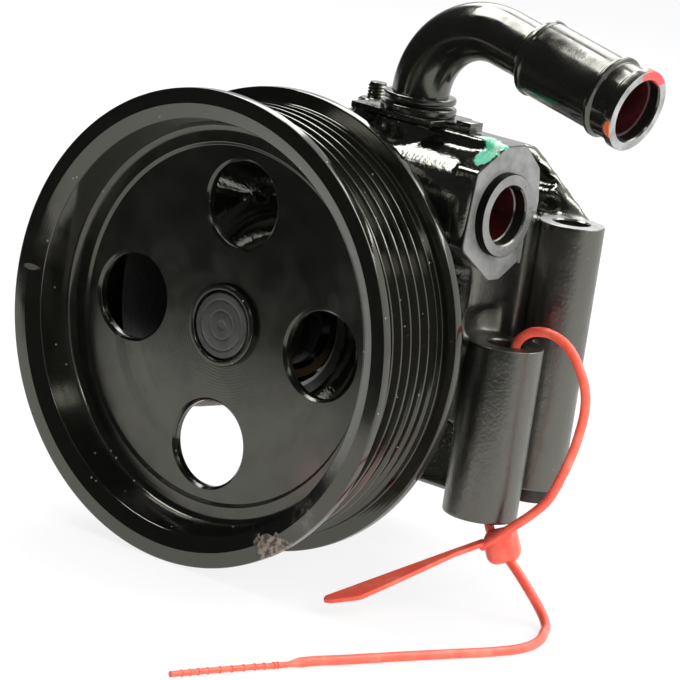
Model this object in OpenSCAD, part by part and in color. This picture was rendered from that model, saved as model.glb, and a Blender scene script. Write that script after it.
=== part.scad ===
// Belt-driven power steering pump: grooved pulley, balanced vane pump, flow
// valve with its pressure port, bent suction pipe and two mounting bosses,
// with the plastic seal tie that is looped through the front boss.

/* [Pulley] */
// Radius of the front flange
flange_r = 58.6; // [57:0.1:61]
// Radius at the tips of the belt ribs
rib_tip_r = 54.3; // [53.2:0.1:55.2]
// Number of belt grooves
groove_count = 6; // [5:1:7]
// Distance from one groove to the next
groove_pitch = 3.56; // [3.4:0.02:3.7]
// Depth of each groove
groove_depth = 2.6; // [2.2:0.1:2.9]
// Wall left under the grooves
rim_wall = 1.6; // [1.2:0.1:2.2]
// Thickness of the front flange at its edge
flange_t = 2.7; // [2.2:0.1:3.4]
// Width of the flat ring on the front of the rim
rim_face_w = 3.8; // [3.4:0.1:4.2]
// Depth from the front of the rim to the web
web_depth = 11.6; // [10.5:0.1:13]
// Thickness of the web
web_t = 3.6; // [3:0.1:4.6]
// Radius of the holes in the web
web_hole_r = 10.75; // [9:0.05:11.3]
// Distance from the shaft axis to the middle of each web hole
web_hole_pcr = 30.3; // [29.5:0.1:32]
// Number of holes in the web
web_hole_count = 4; // [3:1:4]

/* [Hub and shaft] */
// Radius of the hub ring that shows in the middle of the web
hub_r = 10.3; // [9.9:0.1:11.5]
// Radius of the hub's flange behind the web
hub_flange_r = 16.5; // [14.5:0.1:17.4]
// Height of the hub ring above the web
hub_proud = 1.6; // [0.8:0.1:2.4]
// Radius of the drive shaft
shaft_r = 8.5; // [8:0.05:9]

/* [Bearing] */
// Outer radius of the ball bearing
bearing_r = 20; // [19:0.1:21]
// Width of the ball bearing
bearing_w = 12; // [11:0.1:13.5]
// Radius of the bearing balls
ball_r = 3.3; // [3:0.05:3.5]
// Number of bearing balls
ball_count = 8; // [7:1:8]

/* [Housing] */
// Gap between the pulley and the nose of the housing
nose_gap = 1.6; // [1:0.1:4]
// Radius of the nose round the bearing
nose_r = 27; // [25.5:0.1:29]
// Radius of the neck behind the nose
neck_r = 34.5; // [33:0.1:36]
// Radius of the barrel round the vane pump
barrel_r = 45; // [43.5:0.1:46.5]
// Radius of the bore that holds the vane pump
cavity_r = 34.5; // [33.5:0.1:35.3]
// Thickness of the rear cover
cover_t = 6; // [5:0.1:9]
// Number of bolts in the rear cover
cover_bolt_count = 4; // [3:1:6]
// Radius of the cover bolts
cover_bolt_r = 2.5; // [2.2:0.1:2.8]

/* [Vane pump] */
// Radius of the rotor
rotor_r = 23; // [21.5:0.1:23.8]
// Width of the rotor
rotor_w = 12; // [10:0.1:14]
// Number of vanes
vane_count = 10; // [8:1:12]
// Thickness of a vane
vane_t = 1.8; // [1.4:0.1:2.2]
// Depth of a vane slot
vane_depth = 9; // [7:0.1:10]
// Rise of the cam track over its two lobes
cam_lift = 3; // [2:0.1:3.6]
// Thickness of the front plate and of the pressure plate
plate_t = 5; // [4:0.1:6.5]
// Radius of the dowel pins
dowel_r = 2; // [1.5:0.1:2.4]

/* [Flow valve and pressure port] */
// Height of the valve axis above the shaft axis
valve_height = 37.5; // [36.5:0.1:39]
// Distance of the valve axis behind the nose
valve_back = 16.4; // [15.5:0.1:18]
// Outer radius of the valve barrel
valve_barrel_r = 15; // [14:0.1:16]
// Radius of the valve bore
valve_bore_r = 8.5; // [8:0.05:8.7]
// Distance from the shaft axis to the port face
port_reach = 50.1; // [49:0.1:51.5]
// Distance from the shaft axis to the other end of the valve barrel
valve_tail = 30; // [27:0.5:33]
// Thickness of the port flange
port_flange_t = 6.5; // [5:0.1:8]
// Radius of the outlet fitting's collar
collar_r = 10.4; // [10:0.1:11.5]
// Height of the collar above the port face
collar_h = 2.3; // [1.5:0.1:3]
// Wall radius of the threaded pressure port
port_r = 7.25; // [6.8:0.05:7.6]
// Depth of the threaded pressure port
port_depth = 15; // [12:0.1:16]
// Length of the flow spool
spool_len = 26; // [23:0.1:28]

/* [Suction pipe] */
// Distance of the riser from the shaft axis
pipe_x = 20.9; // [19:0.1:23]
// Outer radius of the riser and the bend
riser_r = 7.2; // [6.8:0.1:7.6]
// Wall of the pipe
pipe_wall = 1.6; // [1.2:0.1:1.8]
// Radius of the bend along the middle of the pipe
bend_r = 18.7; // [17:0.1:21]
// Angle that the pipe turns through
bend_angle = 103; // [92:1:108]
// Straight length from the bend to the hose end
hose_end_len = 41.7; // [36:0.1:46]
// Length of the wider hose end
spigot_len = 31; // [26:0.1:33]
// Outer radius of the hose end
spigot_r = 9.5; // [9.2:0.1:10]
// Height of the bead at the mouth over the hose end
bead_h = 0.9; // [0.5:0.1:1.2]

/* [Mounting bosses] */
// Distance of both bosses from the shaft axis
boss_x = 57.8; // [57.5:0.1:60]
// Distance between the two boss axes
boss_spacing = 20; // [19.4:0.1:22]
// Outer radius of the front boss
boss_r = 9.3; // [8.6:0.1:9.9]
// Outer radius of the rear boss
rear_boss_r = 8.3; // [8:0.1:8.9]
// Radius of the bolt bores
boss_bore_r = 4.5; // [4:0.05:4.8]
// Top of the front boss
front_boss_top = 6.9; // [5:0.1:8]
// Bottom of the front boss
front_boss_low = -36.8; // [-40:0.1:-34]
// Top of the rear boss
rear_boss_top = 36; // [34:0.1:38]
// Bottom of the rear boss
rear_boss_low = -31; // [-34:0.1:-29]
// Outer radius of the steel sleeve in the rear boss
sleeve_r = 6.8; // [6.2:0.1:7]
// Length of the sleeve
sleeve_len = 24; // [18:0.1:30]
// How far the sleeve stands out of the boss
sleeve_proud = 3.4; // [2:0.1:5]

/* [Seal tie] */
// Radius of the tie's strap
strap_r = 1.2; // [1:0.05:1.3]
// Radius of the lock head
lock_r = 4.6; // [4:0.1:5]
// Length of the lock head
lock_len = 8.4; // [7:0.1:9]
// Length of the flat tag
tag_len = 46.5; // [42:0.5:48]
// Greatest width of the tag
tag_w = 6.5; // [5:0.1:8]
// Thickness of the tag
tag_t = 1.2; // [1:0.1:1.6]

/* [Hidden] */
$fn = 96;

// Clearances
seat_gap = 0.02;
run_gap = 0.05;
ball_gap = 0.1;
tip_gap = 0.35;
over = 1;

// Pulley, from its front at zero to its back
edge = 0.5;
flange_slope = 2.9;
groove_0 = flange_t + flange_slope;
rib_tip_w = 0.6;
rear_flange_w = 5;
pulley_w = groove_0 + groove_count * groove_pitch + rear_flange_w;
rear_flange_r = flange_r - 0.6;
lip_r = flange_r - rim_face_w;
lip_depth = 3.1;
rim_in_r = rib_tip_r - groove_depth - rim_wall;
rim_draft = 1;
web_edge_r = rim_in_r - 0.5;
web_fillet = 2;
web_dish = 0.7;
web_ledge_r = web_edge_r - 4.6;
web_rear = web_depth + web_t;
pressed_ring_in = web_hole_pcr - 0.9;
pressed_ring_out = web_hole_pcr + 4.3;
pressed_ring_deep = 0.5;
pressed_slope = 1.5;
hub_front = web_depth - hub_proud + web_dish;
hub_rear = pulley_w - 1;

// Stations along the shaft behind the pulley
nose_y = pulley_w + nose_gap;
snap_t = 1.4;
snap_y = nose_y + 1;
bearing_y = snap_y + snap_t;
bearing_end = bearing_y + bearing_w;
seal_r = 14.5;
seal_w = 6;
seal_y = bearing_end + 0.8;
bush_r = shaft_r + 2;
bush_len = 9;
bush_y = seal_y + seal_w + 0.8;
cavity_y = bush_y + bush_len + 1.5;
cam_y = cavity_y + plate_t;
cam_w = rotor_w + 2 * run_gap;
pressure_y = cam_y + cam_w;
spring_t = 2.4;
spring_y = pressure_y + plate_t;
cover_spigot_y = spring_y + spring_t;
cover_spigot_h = 4;
cover_y = cover_spigot_y + cover_spigot_h;
cover_rear = cover_y + cover_t;
shaft_front = hub_front + 0.4;
shaft_rear = pressure_y + plate_t - 0.6;
neck_y = nose_y + 5;
barrel_y = cavity_y - 10;

// Bearing
ball_pcr = (shaft_r + bearing_r) / 2;
race_in_r = ball_pcr - 0.75 * ball_r;
race_out_r = ball_pcr + 0.75 * ball_r;
ball_y = bearing_y + bearing_w / 2;

// Vane pump
cam_min_r = rotor_r + tip_gap;
shaft_hole_r = shaft_r + 0.8;
clip_r = shaft_r + 2.2;
clip_t = 1.2;
clip_y = pressure_y + 0.6;
dowel_pcr = (cam_min_r + cam_lift + cavity_r) / 2;
dowel_sink = 6;
dowel_turn = 20;
kidney_span = 40;
kidney_half_w = 1.6;
cover_bolt_pcr = (cavity_r + barrel_r) / 2;
cover_bolt_len = 16;
cover_head_h = 3.5;

// Valve stations along X, from the port inwards
valve_y = nose_y + valve_back;
fitting_r = valve_bore_r + 0.7;
fitting_len = 18;
fitting_end = port_reach - fitting_len;
spool_r = valve_bore_r - run_gap;
spool_right = fitting_end - run_gap;
spool_left = spool_right - spool_len;
cup_r = 5.6;
cup_depth = 10;
plug_len = 12;
plug_in = plug_len - valve_tail;
plug_hex = 11.5;
plug_head = 7;
plug_flange_t = 1.6;
plug_room = 0.5;
seal_inset = 3;
metering_r = 2.2;
spring_wire = 0.8;
spring_r = 4.6;
spring_turns = 7;
spring_right = spool_left + cup_depth - spring_wire;
spring_left = plug_in + spring_wire;

// Seals in their grooves
ring_d = 1.9;
groove_w = 2.4;

// Top pad and suction pipe
pad_top = valve_height + valve_barrel_r + 2.8;
pad_left = pipe_x - 17;
pad_front = valve_y - 4.5;
pad_back = valve_y + 2.5;
pad_lobe_r = riser_r + 2;
pad_right = port_reach - 5;
pocket_wall = 1.5;
pocket_floor = valve_height + valve_bore_r + pocket_wall;
clip_sheet = 1.4;
stud_r = 2.5;
stud_x = pipe_x - 20.6;
stud_y = valve_y + 10;
stud_base = pad_top - 5.1;
stud_sink = 6;
clip_left = pipe_x - 14.3;
clip_half_w = 8.5;
ear_r = 6.6;
ear_near = valve_y + 4;
ear_room = 0.5;
stud_proud = 4.3;
stud_lobe_r = 5.6;
stud_lobe_h = 12;
nut_flange_r = 5.9;
nut_flange_t = 1.2;
nut_hex_r = 4.6;
nut_h = 3.7;
collar_low_r = riser_r + 2.3;
collar_up_r = riser_r + 1.9;
collar_low_h = 2;
collar_up_h = 1.6;
collar_neck = 0.9;
riser_top = pad_top + clip_sheet + collar_low_h + collar_neck + collar_up_h + 0.3;
bend_end = [pipe_x + bend_r - bend_r * cos(bend_angle), riser_top + bend_r * sin(bend_angle)];
mouth_rim_w = 3;
pipe_lap = 2;
bead_gap = 4;
bead_w = 2.2;

// Bosses
front_boss_y = valve_y;
rear_boss_y = front_boss_y + boss_spacing;
spot_r = boss_r + 1.4;
spot_h = 7;
pillar_front = valve_y - 7;
pillar_back = valve_y + 12.3;
pillar_left = barrel_r - 25;
pillar_low = front_boss_top - 4;
pillar_top = valve_height - 8;
arm_front = rear_boss_y + boss_bore_r + 0.6;
arm_t = 5;
arm_top = valve_height + 13.2;
arm_from = port_reach - 12.6;
arm_to = boss_x - 1;
arm_pocket_deep = 3;
boss_web_root = 20;
boss_web_half = 5;
boss_web_h = 20.5;
boss_web_drop = 1.5;
back_web_from = 2;
back_web_t = 6;
rear_web_root = 8;
rear_web_half = 6.5;
rear_web_rise = 6;
pipe_seal_drop = 3.5;
passage_r = 13.3;
passage_reach = 61;
passage_y = valve_y + 1;
passage_drop = 11;
passage_web_t = 8;
plug_rest_front = valve_y - 10;
plug_rest_back = valve_y + 4;
plug_rest_right = -20;
plug_rest_top = valve_height - 7.5;
core_r = 9;
core_deep = 7;
core_inset = 1;

// Route of the tie's strap from the tag, over the lock, through the front
// boss, back through the lock and along the ground
STRAP = [
    [62.5, 46.2, -43.2], [66.5, 46, -39.7], [70.5, 47.2, -35.7], [74, 49, -31.8], [77, 50, -27.7],
    [79.5, 50, -21.9], [81.7, 50, -15], [82.9, 50, -8.9], [83.3, 50, -3.3], [82.4, 50, 1.5],
    [80, 50, 5.8], [76.3, 50, 9.9], [71.7, 50, 12], [67.4, 50, 12.1], [63.4, 50, 10.6],
    [60.6, 50, 7.2], [60.2, 50, -8], [60.7, 50, -20], [60.6, 50, -31], [60.8, 50, -37.4],
    [62.8, 50, -40.9], [66.3, 50, -43.6], [69.6, 50, -46], [73.4, 50, -49], [77, 50.3, -52.4],
    [80, 50.6, -55.6], [83, 48.6, -57.4], [87.2, 42, -57.4], [90.6, 35, -57.4], [92, 27, -57.4],
    [90.7, 18.6, -57.4], [86.2, 5.2, -57.4], [81.6, -8.2, -57.4], [77.3, -21.6, -57.4], [73, -34.8, -57.4],
    [69, -47.8, -57.4], [65.6, -60.6, -57.4], [63.4, -69.4, -57.4]
];
lock_at = [66, 50, -43.3];
lock_turn = 42;
lock_spin = 30.6;
tag_at = [63.3, 46.6, -42.4];
tag_yaw = -111.4;
tag_pitch = 17.5;

// Moves the shaft's frame to the rear boss bore, at the height of the shaft
module placed() {
    translate([-boss_x, -rear_boss_y, 0]) children();
}

// Profile of radius against distance along the shaft, turned about the shaft
module turned() {
    rotate([-90, 0, 0]) rotate_extrude() children();
}

// Profile of radius against X, turned about an axis through y and z
module turned_x(y, z) {
    translate([0, y, z]) rotate([0, 90, 0]) rotate_extrude() children();
}

// Rod about the shaft axis from y0 to y1
module rod_y(r, y0, y1) {
    translate([0, y0, 0]) rotate([-90, 0, 0]) cylinder(r = r, h = y1 - y0);
}

// Rod along X from x0 to x1
module rod_x(r, x0, x1, y, z) {
    translate([x0, y, z]) rotate([0, 90, 0]) cylinder(r = r, h = x1 - x0);
}

// Upright rod from z0 to z1
module rod_z(r, z0, z1, x, y) {
    translate([x, y, z0]) cylinder(r = r, h = z1 - z0);
}

// Box between two corners
module box(low, high) {
    translate(low) cube(high - low);
}

// Copies in a circle about the shaft
module around_shaft(count, start = 0) {
    for (i = [0 : count - 1]) rotate([0, start + i * 360 / count, 0]) children();
}

// Ring about the shaft
module ring_y(r_in, r_out, y0, y1) {
    turned() translate([r_in, y0]) square([r_out - r_in, y1 - y0]);
}

// Points between route points, on one smooth curve
function smooth_step(a, b, c, d, t) =
    0.5 * (2 * b + (c - a) * t + (2 * a - 5 * b + 4 * c - d) * t * t
        + (3 * b - a - 3 * c + d) * t * t * t);
function smoothed(route, steps) =
    let (last = len(route) - 1)
    concat(
        [for (i = [0 : last - 1], s = [0 : steps - 1]) smooth_step(
            route[max(i - 1, 0)], route[i], route[i + 1], route[min(i + 2, last)], s / steps)],
        [route[last]]);

// Directions along a path, and side directions carried along it without twist
function unit(v) = v / norm(v);
function heading(path, i) = unit(path[min(i + 1, len(path) - 1)] - path[max(i - 1, 0)]);
function carried(side, along) = unit(side - along * (side * along));
function sides(path, i, side) =
    i == len(path) ? [] :
    let (next = carried(side, heading(path, i))) concat([next], sides(path, i + 1, next));

// Round tube of radius r swept along a path
module sweep(path, r, faces, first_side) {
    side = sides(path, 0, first_side);
    last = len(path) - 1;
    points = [for (i = [0 : last], k = [0 : faces - 1])
        let (a = 360 * k / faces, up = cross(heading(path, i), side[i]))
        path[i] + r * (cos(a) * side[i] + sin(a) * up)];
    walls = [for (i = [0 : last - 1], k = [0 : faces - 1])
        let (n = (k + 1) % faces)
        [i * faces + k, (i + 1) * faces + k, (i + 1) * faces + n, i * faces + n]];
    start_cap = [for (k = [0 : faces - 1]) k];
    end_cap = [for (k = [0 : faces - 1]) last * faces + faces - 1 - k];
    polyhedron(points = points, faces = concat(walls, [start_cap, end_cap]), convexity = 10);
}

// Section of the pulley from the hub hole out over the rim and back
module pulley_section() {
    groove_r = rib_tip_r - groove_depth;
    top_half = (groove_pitch - rib_tip_w) / 2;
    floor_half = top_half - groove_depth * tan(20);
    grooves = [for (i = [0 : groove_count - 1])
        let (mid = groove_0 + (i + 0.5) * groove_pitch)
        each [[rib_tip_r, mid - top_half], [groove_r, mid - floor_half],
            [groove_r, mid + floor_half], [rib_tip_r, mid + top_half]]];
    corner = [for (a = [0 : 15 : 90])
        [web_edge_r - web_fillet + web_fillet * sin(a), web_depth - web_fillet + web_fillet * cos(a)]];
    groove_end = groove_0 + groove_count * groove_pitch;
    web_face = web_depth + web_dish;
    polygon(concat(
        [[hub_r, web_face], [pressed_ring_in, web_face],
            [pressed_ring_in + pressed_slope, web_face + pressed_ring_deep],
            [pressed_ring_out - pressed_slope, web_face + pressed_ring_deep],
            [pressed_ring_out, web_face], [web_ledge_r - web_dish, web_face], [web_ledge_r, web_depth]],
        corner,
        [[rim_in_r + rim_draft, lip_depth], [lip_r, 0], [flange_r - edge, 0], [flange_r, edge],
            [flange_r, flange_t], [rib_tip_r + 0.4, groove_0 - 0.4]],
        grooves,
        [[rib_tip_r, groove_end + 1.1], [rear_flange_r, groove_end + 2.4],
            [rear_flange_r, pulley_w - edge], [rear_flange_r - edge, pulley_w],
            [rim_in_r + edge, pulley_w], [rim_in_r, pulley_w - edge],
            [web_edge_r, web_rear + web_fillet], [web_edge_r - web_fillet, web_rear],
            [hub_r, web_rear]]));
}

module pulley() {
    color("black") placed() difference() {
        turned() pulley_section();
        around_shaft(web_hole_count) translate([web_hole_pcr, 0, 0])
            rod_y(web_hole_r, web_depth - over, web_rear + over);
    }
}

// Flanged hub pressed into the web
module pulley_hub() {
    ring_r = hub_r - seat_gap;
    bore = shaft_r + seat_gap;
    color("black") placed() turned() polygon([
        [bore, hub_front + edge], [bore + edge, hub_front], [ring_r - edge, hub_front],
        [ring_r, hub_front + edge], [ring_r, web_rear], [hub_flange_r, web_rear],
        [hub_flange_r, web_rear + 3], [ring_r + 3, web_rear + 4.4], [ring_r + 2.2, hub_rear],
        [bore, hub_rear]]);
}

module drive_shaft() {
    color("dimgray") placed() turned() polygon([
        [0, shaft_front + 1.2], [1, shaft_front + 1.2], [2, shaft_front],
        [shaft_r - 0.7, shaft_front], [shaft_r, shaft_front + 0.7], [shaft_r, clip_y],
        [shaft_r - 1, clip_y], [shaft_r - 1, clip_y + clip_t], [shaft_r, clip_y + clip_t],
        [shaft_r, shaft_rear - 1], [shaft_r - 1, shaft_rear], [0, shaft_rear]]);
}

module ball_track() {
    turned() translate([ball_pcr, ball_y]) circle(r = ball_r + ball_gap);
}

module bearing_inner_race() {
    color("silver") placed() difference() {
        ring_y(shaft_r + seat_gap, race_in_r, bearing_y, bearing_end);
        ball_track();
    }
}

module bearing_outer_race() {
    color("silver") placed() difference() {
        ring_y(race_out_r, bearing_r, bearing_y, bearing_end);
        ball_track();
    }
}

module bearing_balls() {
    color("gainsboro") placed()
        around_shaft(ball_count) translate([ball_pcr, ball_y, 0]) sphere(r = ball_r);
}

// Ring cage with a round pocket for each ball
module bearing_cage() {
    bar = 1;
    half_w = ball_r + 0.9;
    color("goldenrod") placed() difference() {
        ring_y(ball_pcr - bar, ball_pcr + bar, ball_y - half_w, ball_y + half_w);
        around_shaft(ball_count)
            rod_x(ball_r + ball_gap, ball_pcr - 2 * bar, ball_pcr + 2 * bar, ball_y, 0);
    }
}

// Open ring with two eyes, in the groove in front of the bearing
module bearing_snap_ring() {
    gap = 7;
    inner = bearing_r - 2;
    color("dimgray") placed() difference() {
        union() {
            ring_y(inner, bearing_r + 0.9, snap_y, bearing_y - seat_gap);
            for (side = [-1, 1]) translate([side * (gap / 2 + 2), 0, -inner + 0.6])
                rod_y(2, snap_y, bearing_y - seat_gap);
        }
        box([-gap / 2, snap_y - over, -bearing_r - 2 * over], [gap / 2, bearing_y + over, 0]);
        for (side = [-1, 1]) translate([side * (gap / 2 + 2), 0, -inner + 0.6])
            rod_y(0.9, snap_y - over, bearing_y + over);
    }
}

// Cup seal with a lip that runs on the shaft
module shaft_seal() {
    lip = shaft_r + run_gap;
    color("black") placed() turned() polygon([
        [seal_r, seal_y], [seal_r, seal_y + seal_w], [lip + 2.6, seal_y + seal_w],
        [lip + 2.6, seal_y + seal_w - 1], [lip, seal_y + 3.6], [lip, seal_y + 3],
        [lip + 1.6, seal_y + 1.6], [seal_r - 2, seal_y + 1.6], [seal_r - 2, seal_y]]);
}

module shaft_bush() {
    color("darkgoldenrod") placed()
        ring_y(shaft_r + run_gap, bush_r, bush_y, bush_y + bush_len);
}

// Port flange seen along X, in Y and Z from the valve axis
module port_flange_outline() {
    half_w = valve_barrel_r - 1.2;
    top = valve_barrel_r + 1.8;
    polygon([[-half_w, -0.49 * top], [-0.88 * half_w, 0.63 * top], [-0.09 * half_w, top],
        [0.48 * half_w, top], [half_w, 0.64 * top], [1.13 * half_w, 0.15 * top],
        [1.1 * half_w, -0.22 * top], [0.86 * half_w, -0.7 * top], [0.25 * half_w, -top],
        [-0.07 * half_w, -top]]);
}

// Gusset from the top pad down to the rear boss, in X and Z
module arm_outline() {
    polygon([[pipe_x - 4, valve_height - 8], [pipe_x - 4, arm_top], [arm_from, arm_top],
        [arm_to, rear_boss_top], [arm_to, rear_boss_top - 14], [barrel_r - 12, valve_height - 16]]);
}

// Triangular hollow in the front of the gusset
module arm_pocket_outline() {
    polygon([[arm_from + 1.6, arm_top - 2.2], [arm_from + 1.6, rear_boss_top + 5.3],
        [arm_to - 6.4, rear_boss_top + 5.3]]);
}

// Web under the oil passage on the left, in X and Z
module left_web_outline() {
    polygon([[-passage_reach + 11, 0], [-passage_reach + 11, -10], [-neck_r - 2.4, -neck_r],
        [-neck_r + 9.3, -neck_r + 3.6], [0, -neck_r + 3.6], [0, 0]]);
}

module housing_casting() {
    turned() polygon([
        [0, nose_y], [nose_r - 1.2, nose_y], [nose_r, nose_y + 1.2], [nose_r, neck_y - 2],
        [neck_r - 3, neck_y], [neck_r, neck_y + 3], [neck_r, barrel_y - 5],
        [barrel_r - 4, barrel_y], [barrel_r, barrel_y + 5], [barrel_r, cover_y], [0, cover_y]]);
    rod_x(valve_barrel_r, -valve_tail, port_reach - over, valve_y, valve_height);
    box([-valve_tail + 8, valve_y - 9, 12], [port_reach - 13, barrel_y, valve_height]);
    translate([port_reach - port_flange_t, valve_y, valve_height])
        rotate([90, 0, 90]) linear_extrude(height = port_flange_t) port_flange_outline();
    box([pillar_left, pillar_front, pillar_low], [port_reach, pillar_back, pillar_top]);
    box([pad_left, pad_front, valve_height], [pad_right, pad_back, pad_top]);
    rod_z(pad_lobe_r, valve_height, pad_top, pipe_x, valve_y);
    rod_z(stud_lobe_r, stud_base - stud_lobe_h, stud_base, stud_x, stud_y);
    translate([0, arm_front + arm_t, 0]) rotate([90, 0, 0])
        linear_extrude(height = arm_t) arm_outline();
    box([pipe_x - 4, pad_front + 4, valve_height - 8], [arm_from, arm_front + over, arm_top]);
    rod_x(passage_r, -passage_reach, 0, passage_y, 0);
    rod_x(passage_r, -passage_reach, 0, passage_y, -passage_drop);
    box([-passage_reach, passage_y - passage_r, -passage_drop], [0, passage_y + passage_r, 0]);
    box([-valve_tail - plug_head, plug_rest_front, 0], [plug_rest_right, plug_rest_back, plug_rest_top]);
    rod_z(boss_r, front_boss_low, front_boss_top, boss_x, front_boss_y);
    rod_z(rear_boss_r, rear_boss_low, rear_boss_top, boss_x, rear_boss_y);
    box([neck_r - boss_web_root, front_boss_y - boss_web_half, front_boss_top - boss_web_drop - boss_web_h],
        [boss_x, front_boss_y + boss_web_half, front_boss_top - boss_web_drop]);
    box([neck_r - boss_web_root, front_boss_y + back_web_from, front_boss_low + back_web_from],
        [boss_x, front_boss_y + back_web_from + back_web_t, front_boss_top - boss_web_drop]);
    box([neck_r - rear_web_root, rear_boss_y - rear_web_half, rear_boss_low + rear_web_rise],
        [boss_x, rear_boss_y + rear_web_half, rear_boss_top - boss_web_drop]);
    translate([0, passage_y + 5, 0]) rotate([90, 0, 0])
        linear_extrude(height = passage_web_t) left_web_outline();
}

// Stepped bore for the bearing, the seal, the bush and the vane pump
module shaft_bores() {
    rod_y(bearing_r + seat_gap, nose_y - over, bearing_end);
    rod_y(bearing_r + 1, snap_y - seat_gap, bearing_y);
    rod_y(seal_r + seat_gap, bearing_end - over, seal_y + seal_w);
    rod_y(shaft_hole_r, nose_y, cavity_y + over);
    rod_y(bush_r + seat_gap, seal_y, bush_y + bush_len);
    rod_y(cavity_r + seat_gap, cavity_y, cover_y + over);
}

// Bore for the outlet fitting, the spool and the end plug
module valve_bores() {
    rod_x(valve_bore_r, -valve_tail - over, port_reach + over, valve_y, valve_height);
    rod_x(fitting_r + seat_gap, fitting_end, port_reach + over, valve_y, valve_height);
    rod_x(fitting_r + seat_gap, -valve_tail - over, plug_in, valve_y, valve_height);
    rod_x(plug_hex + plug_room, -valve_tail - plug_head - over, -valve_tail, valve_y, valve_height);
}

module pump_housing() {
    color("black") placed() difference() {
        housing_casting();
        shaft_bores();
        valve_bores();
        rod_z(riser_r + seat_gap, pocket_floor, pad_top + over, pipe_x, valve_y);
        rod_z(stud_r + seat_gap, stud_base - stud_sink, stud_base + over, stud_x, stud_y);
        rod_z(ear_r + ear_room, stud_base, pad_top + over, stud_x, stud_y);
        box([stud_x, ear_near - ear_room, stud_base],
            [clip_left + clip_sheet + ear_room, stud_y, pad_top + over]);
        rod_z(boss_bore_r, front_boss_low - over, front_boss_top + over, boss_x, front_boss_y);
        rod_z(spot_r, front_boss_top, front_boss_top + spot_h, boss_x, front_boss_y);
        rod_z(boss_bore_r, rear_boss_low - over, rear_boss_top + over, boss_x, rear_boss_y);
        rod_z(rear_boss_r + 0.6, rear_boss_top, pad_top, boss_x, rear_boss_y);
        rod_z(sleeve_r + seat_gap, rear_boss_low - over, rear_boss_low - sleeve_proud + sleeve_len,
            boss_x, rear_boss_y);
        translate([0, arm_front + arm_pocket_deep, 0]) rotate([90, 0, 0])
            linear_extrude(height = arm_pocket_deep + over) arm_pocket_outline();
        rod_x(core_r + seat_gap, -passage_reach - over, -passage_reach + core_deep, passage_y, 0);
        around_shaft(cover_bolt_count, 45) translate([cover_bolt_pcr, 0, 0])
            rod_y(cover_bolt_r + seat_gap, cover_y - cover_bolt_len, cover_y + over);
        dowel_places() rod_y(dowel_r + seat_gap, cavity_y - dowel_sink, cavity_y + over);
    }
}

// The two dowel positions on either side of the shaft
module dowel_places() {
    around_shaft(2, dowel_turn) translate([dowel_pcr, 0, 0]) children();
}

// Curved port through a plate
module kidney_port(r, half_w, span, y0, y1) {
    rotate([0, -span / 2, 0]) rotate([-90, 0, 0]) rotate_extrude(angle = span)
        translate([r - half_w, y0]) square([2 * half_w, y1 - y0]);
}

module side_plate(hole_r, y0) {
    difference() {
        ring_y(hole_r, cavity_r, y0, y0 + plate_t);
        dowel_places() rod_y(dowel_r + seat_gap, y0 - over, y0 + plate_t + over);
        around_shaft(4, 45)
            kidney_port(rotor_r, kidney_half_w, kidney_span, y0 - over, y0 + plate_t + over);
    }
}

module front_plate() {
    color("silver") placed() side_plate(shaft_hole_r, cavity_y);
}

module pressure_plate() {
    color("silver") placed() side_plate(clip_r + 0.8, pressure_y);
}

// Two-lobed track that the vane tips follow
module cam_track() {
    polygon([for (a = [0 : 4 : 356])
        let (r = cam_min_r + cam_lift * (1 - cos(2 * a)) / 2) [r * cos(a), r * sin(a)]]);
}

module cam_ring() {
    color("gray") placed() difference() {
        rod_y(cavity_r, cam_y, cam_y + cam_w);
        translate([0, cam_y - over, 0]) rotate([-90, 0, 0])
            linear_extrude(height = cam_w + 2 * over) cam_track();
        dowel_places() rod_y(dowel_r + seat_gap, cam_y - over, cam_y + cam_w + over);
    }
}

// One vane slot or vane, from its inner end to the rotor's edge
module vane_blade(r0, r1, t, y0, y1) {
    box([r0, y0, -t / 2], [r1, y1, t / 2]);
}

module rotor() {
    y0 = cam_y + run_gap;
    color("slategray") placed() difference() {
        ring_y(shaft_r + seat_gap, rotor_r, y0, y0 + rotor_w);
        around_shaft(vane_count)
            vane_blade(rotor_r - vane_depth, rotor_r + over, vane_t + 2 * seat_gap,
                y0 - over, y0 + rotor_w + over);
    }
}

module vanes() {
    y0 = cam_y + run_gap;
    color("lightsteelblue") placed() around_shaft(vane_count)
        vane_blade(rotor_r - vane_depth + 0.4, rotor_r - 0.05, vane_t, y0, y0 + rotor_w);
}

module dowel_pins() {
    color("dimgray") placed()
        dowel_places() rod_y(dowel_r, cavity_y - dowel_sink + 0.2, pressure_y + plate_t - 0.2);
}

// Open ring in the shaft's groove behind the rotor
module rotor_snap_ring() {
    color("dimgray") placed() difference() {
        ring_y(shaft_r - 1 + seat_gap, clip_r, clip_y + seat_gap, clip_y + clip_t - seat_gap);
        box([-2, clip_y - over, 0], [2, clip_y + clip_t + over, clip_r + over]);
    }
}

// Dished spring washer that presses the plate on the cam ring
module plate_spring() {
    clip_room = 4;
    wall_room = 11;
    inner = clip_r + clip_room;
    outer = cavity_r - wall_room;
    sheet = 0.9;
    color("gray") placed() turned() polygon([
        [inner, spring_y + spring_t - sheet], [inner, spring_y + spring_t],
        [inner + 1, spring_y + spring_t], [outer, spring_y + sheet], [outer, spring_y],
        [outer - 1, spring_y]]);
}

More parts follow.
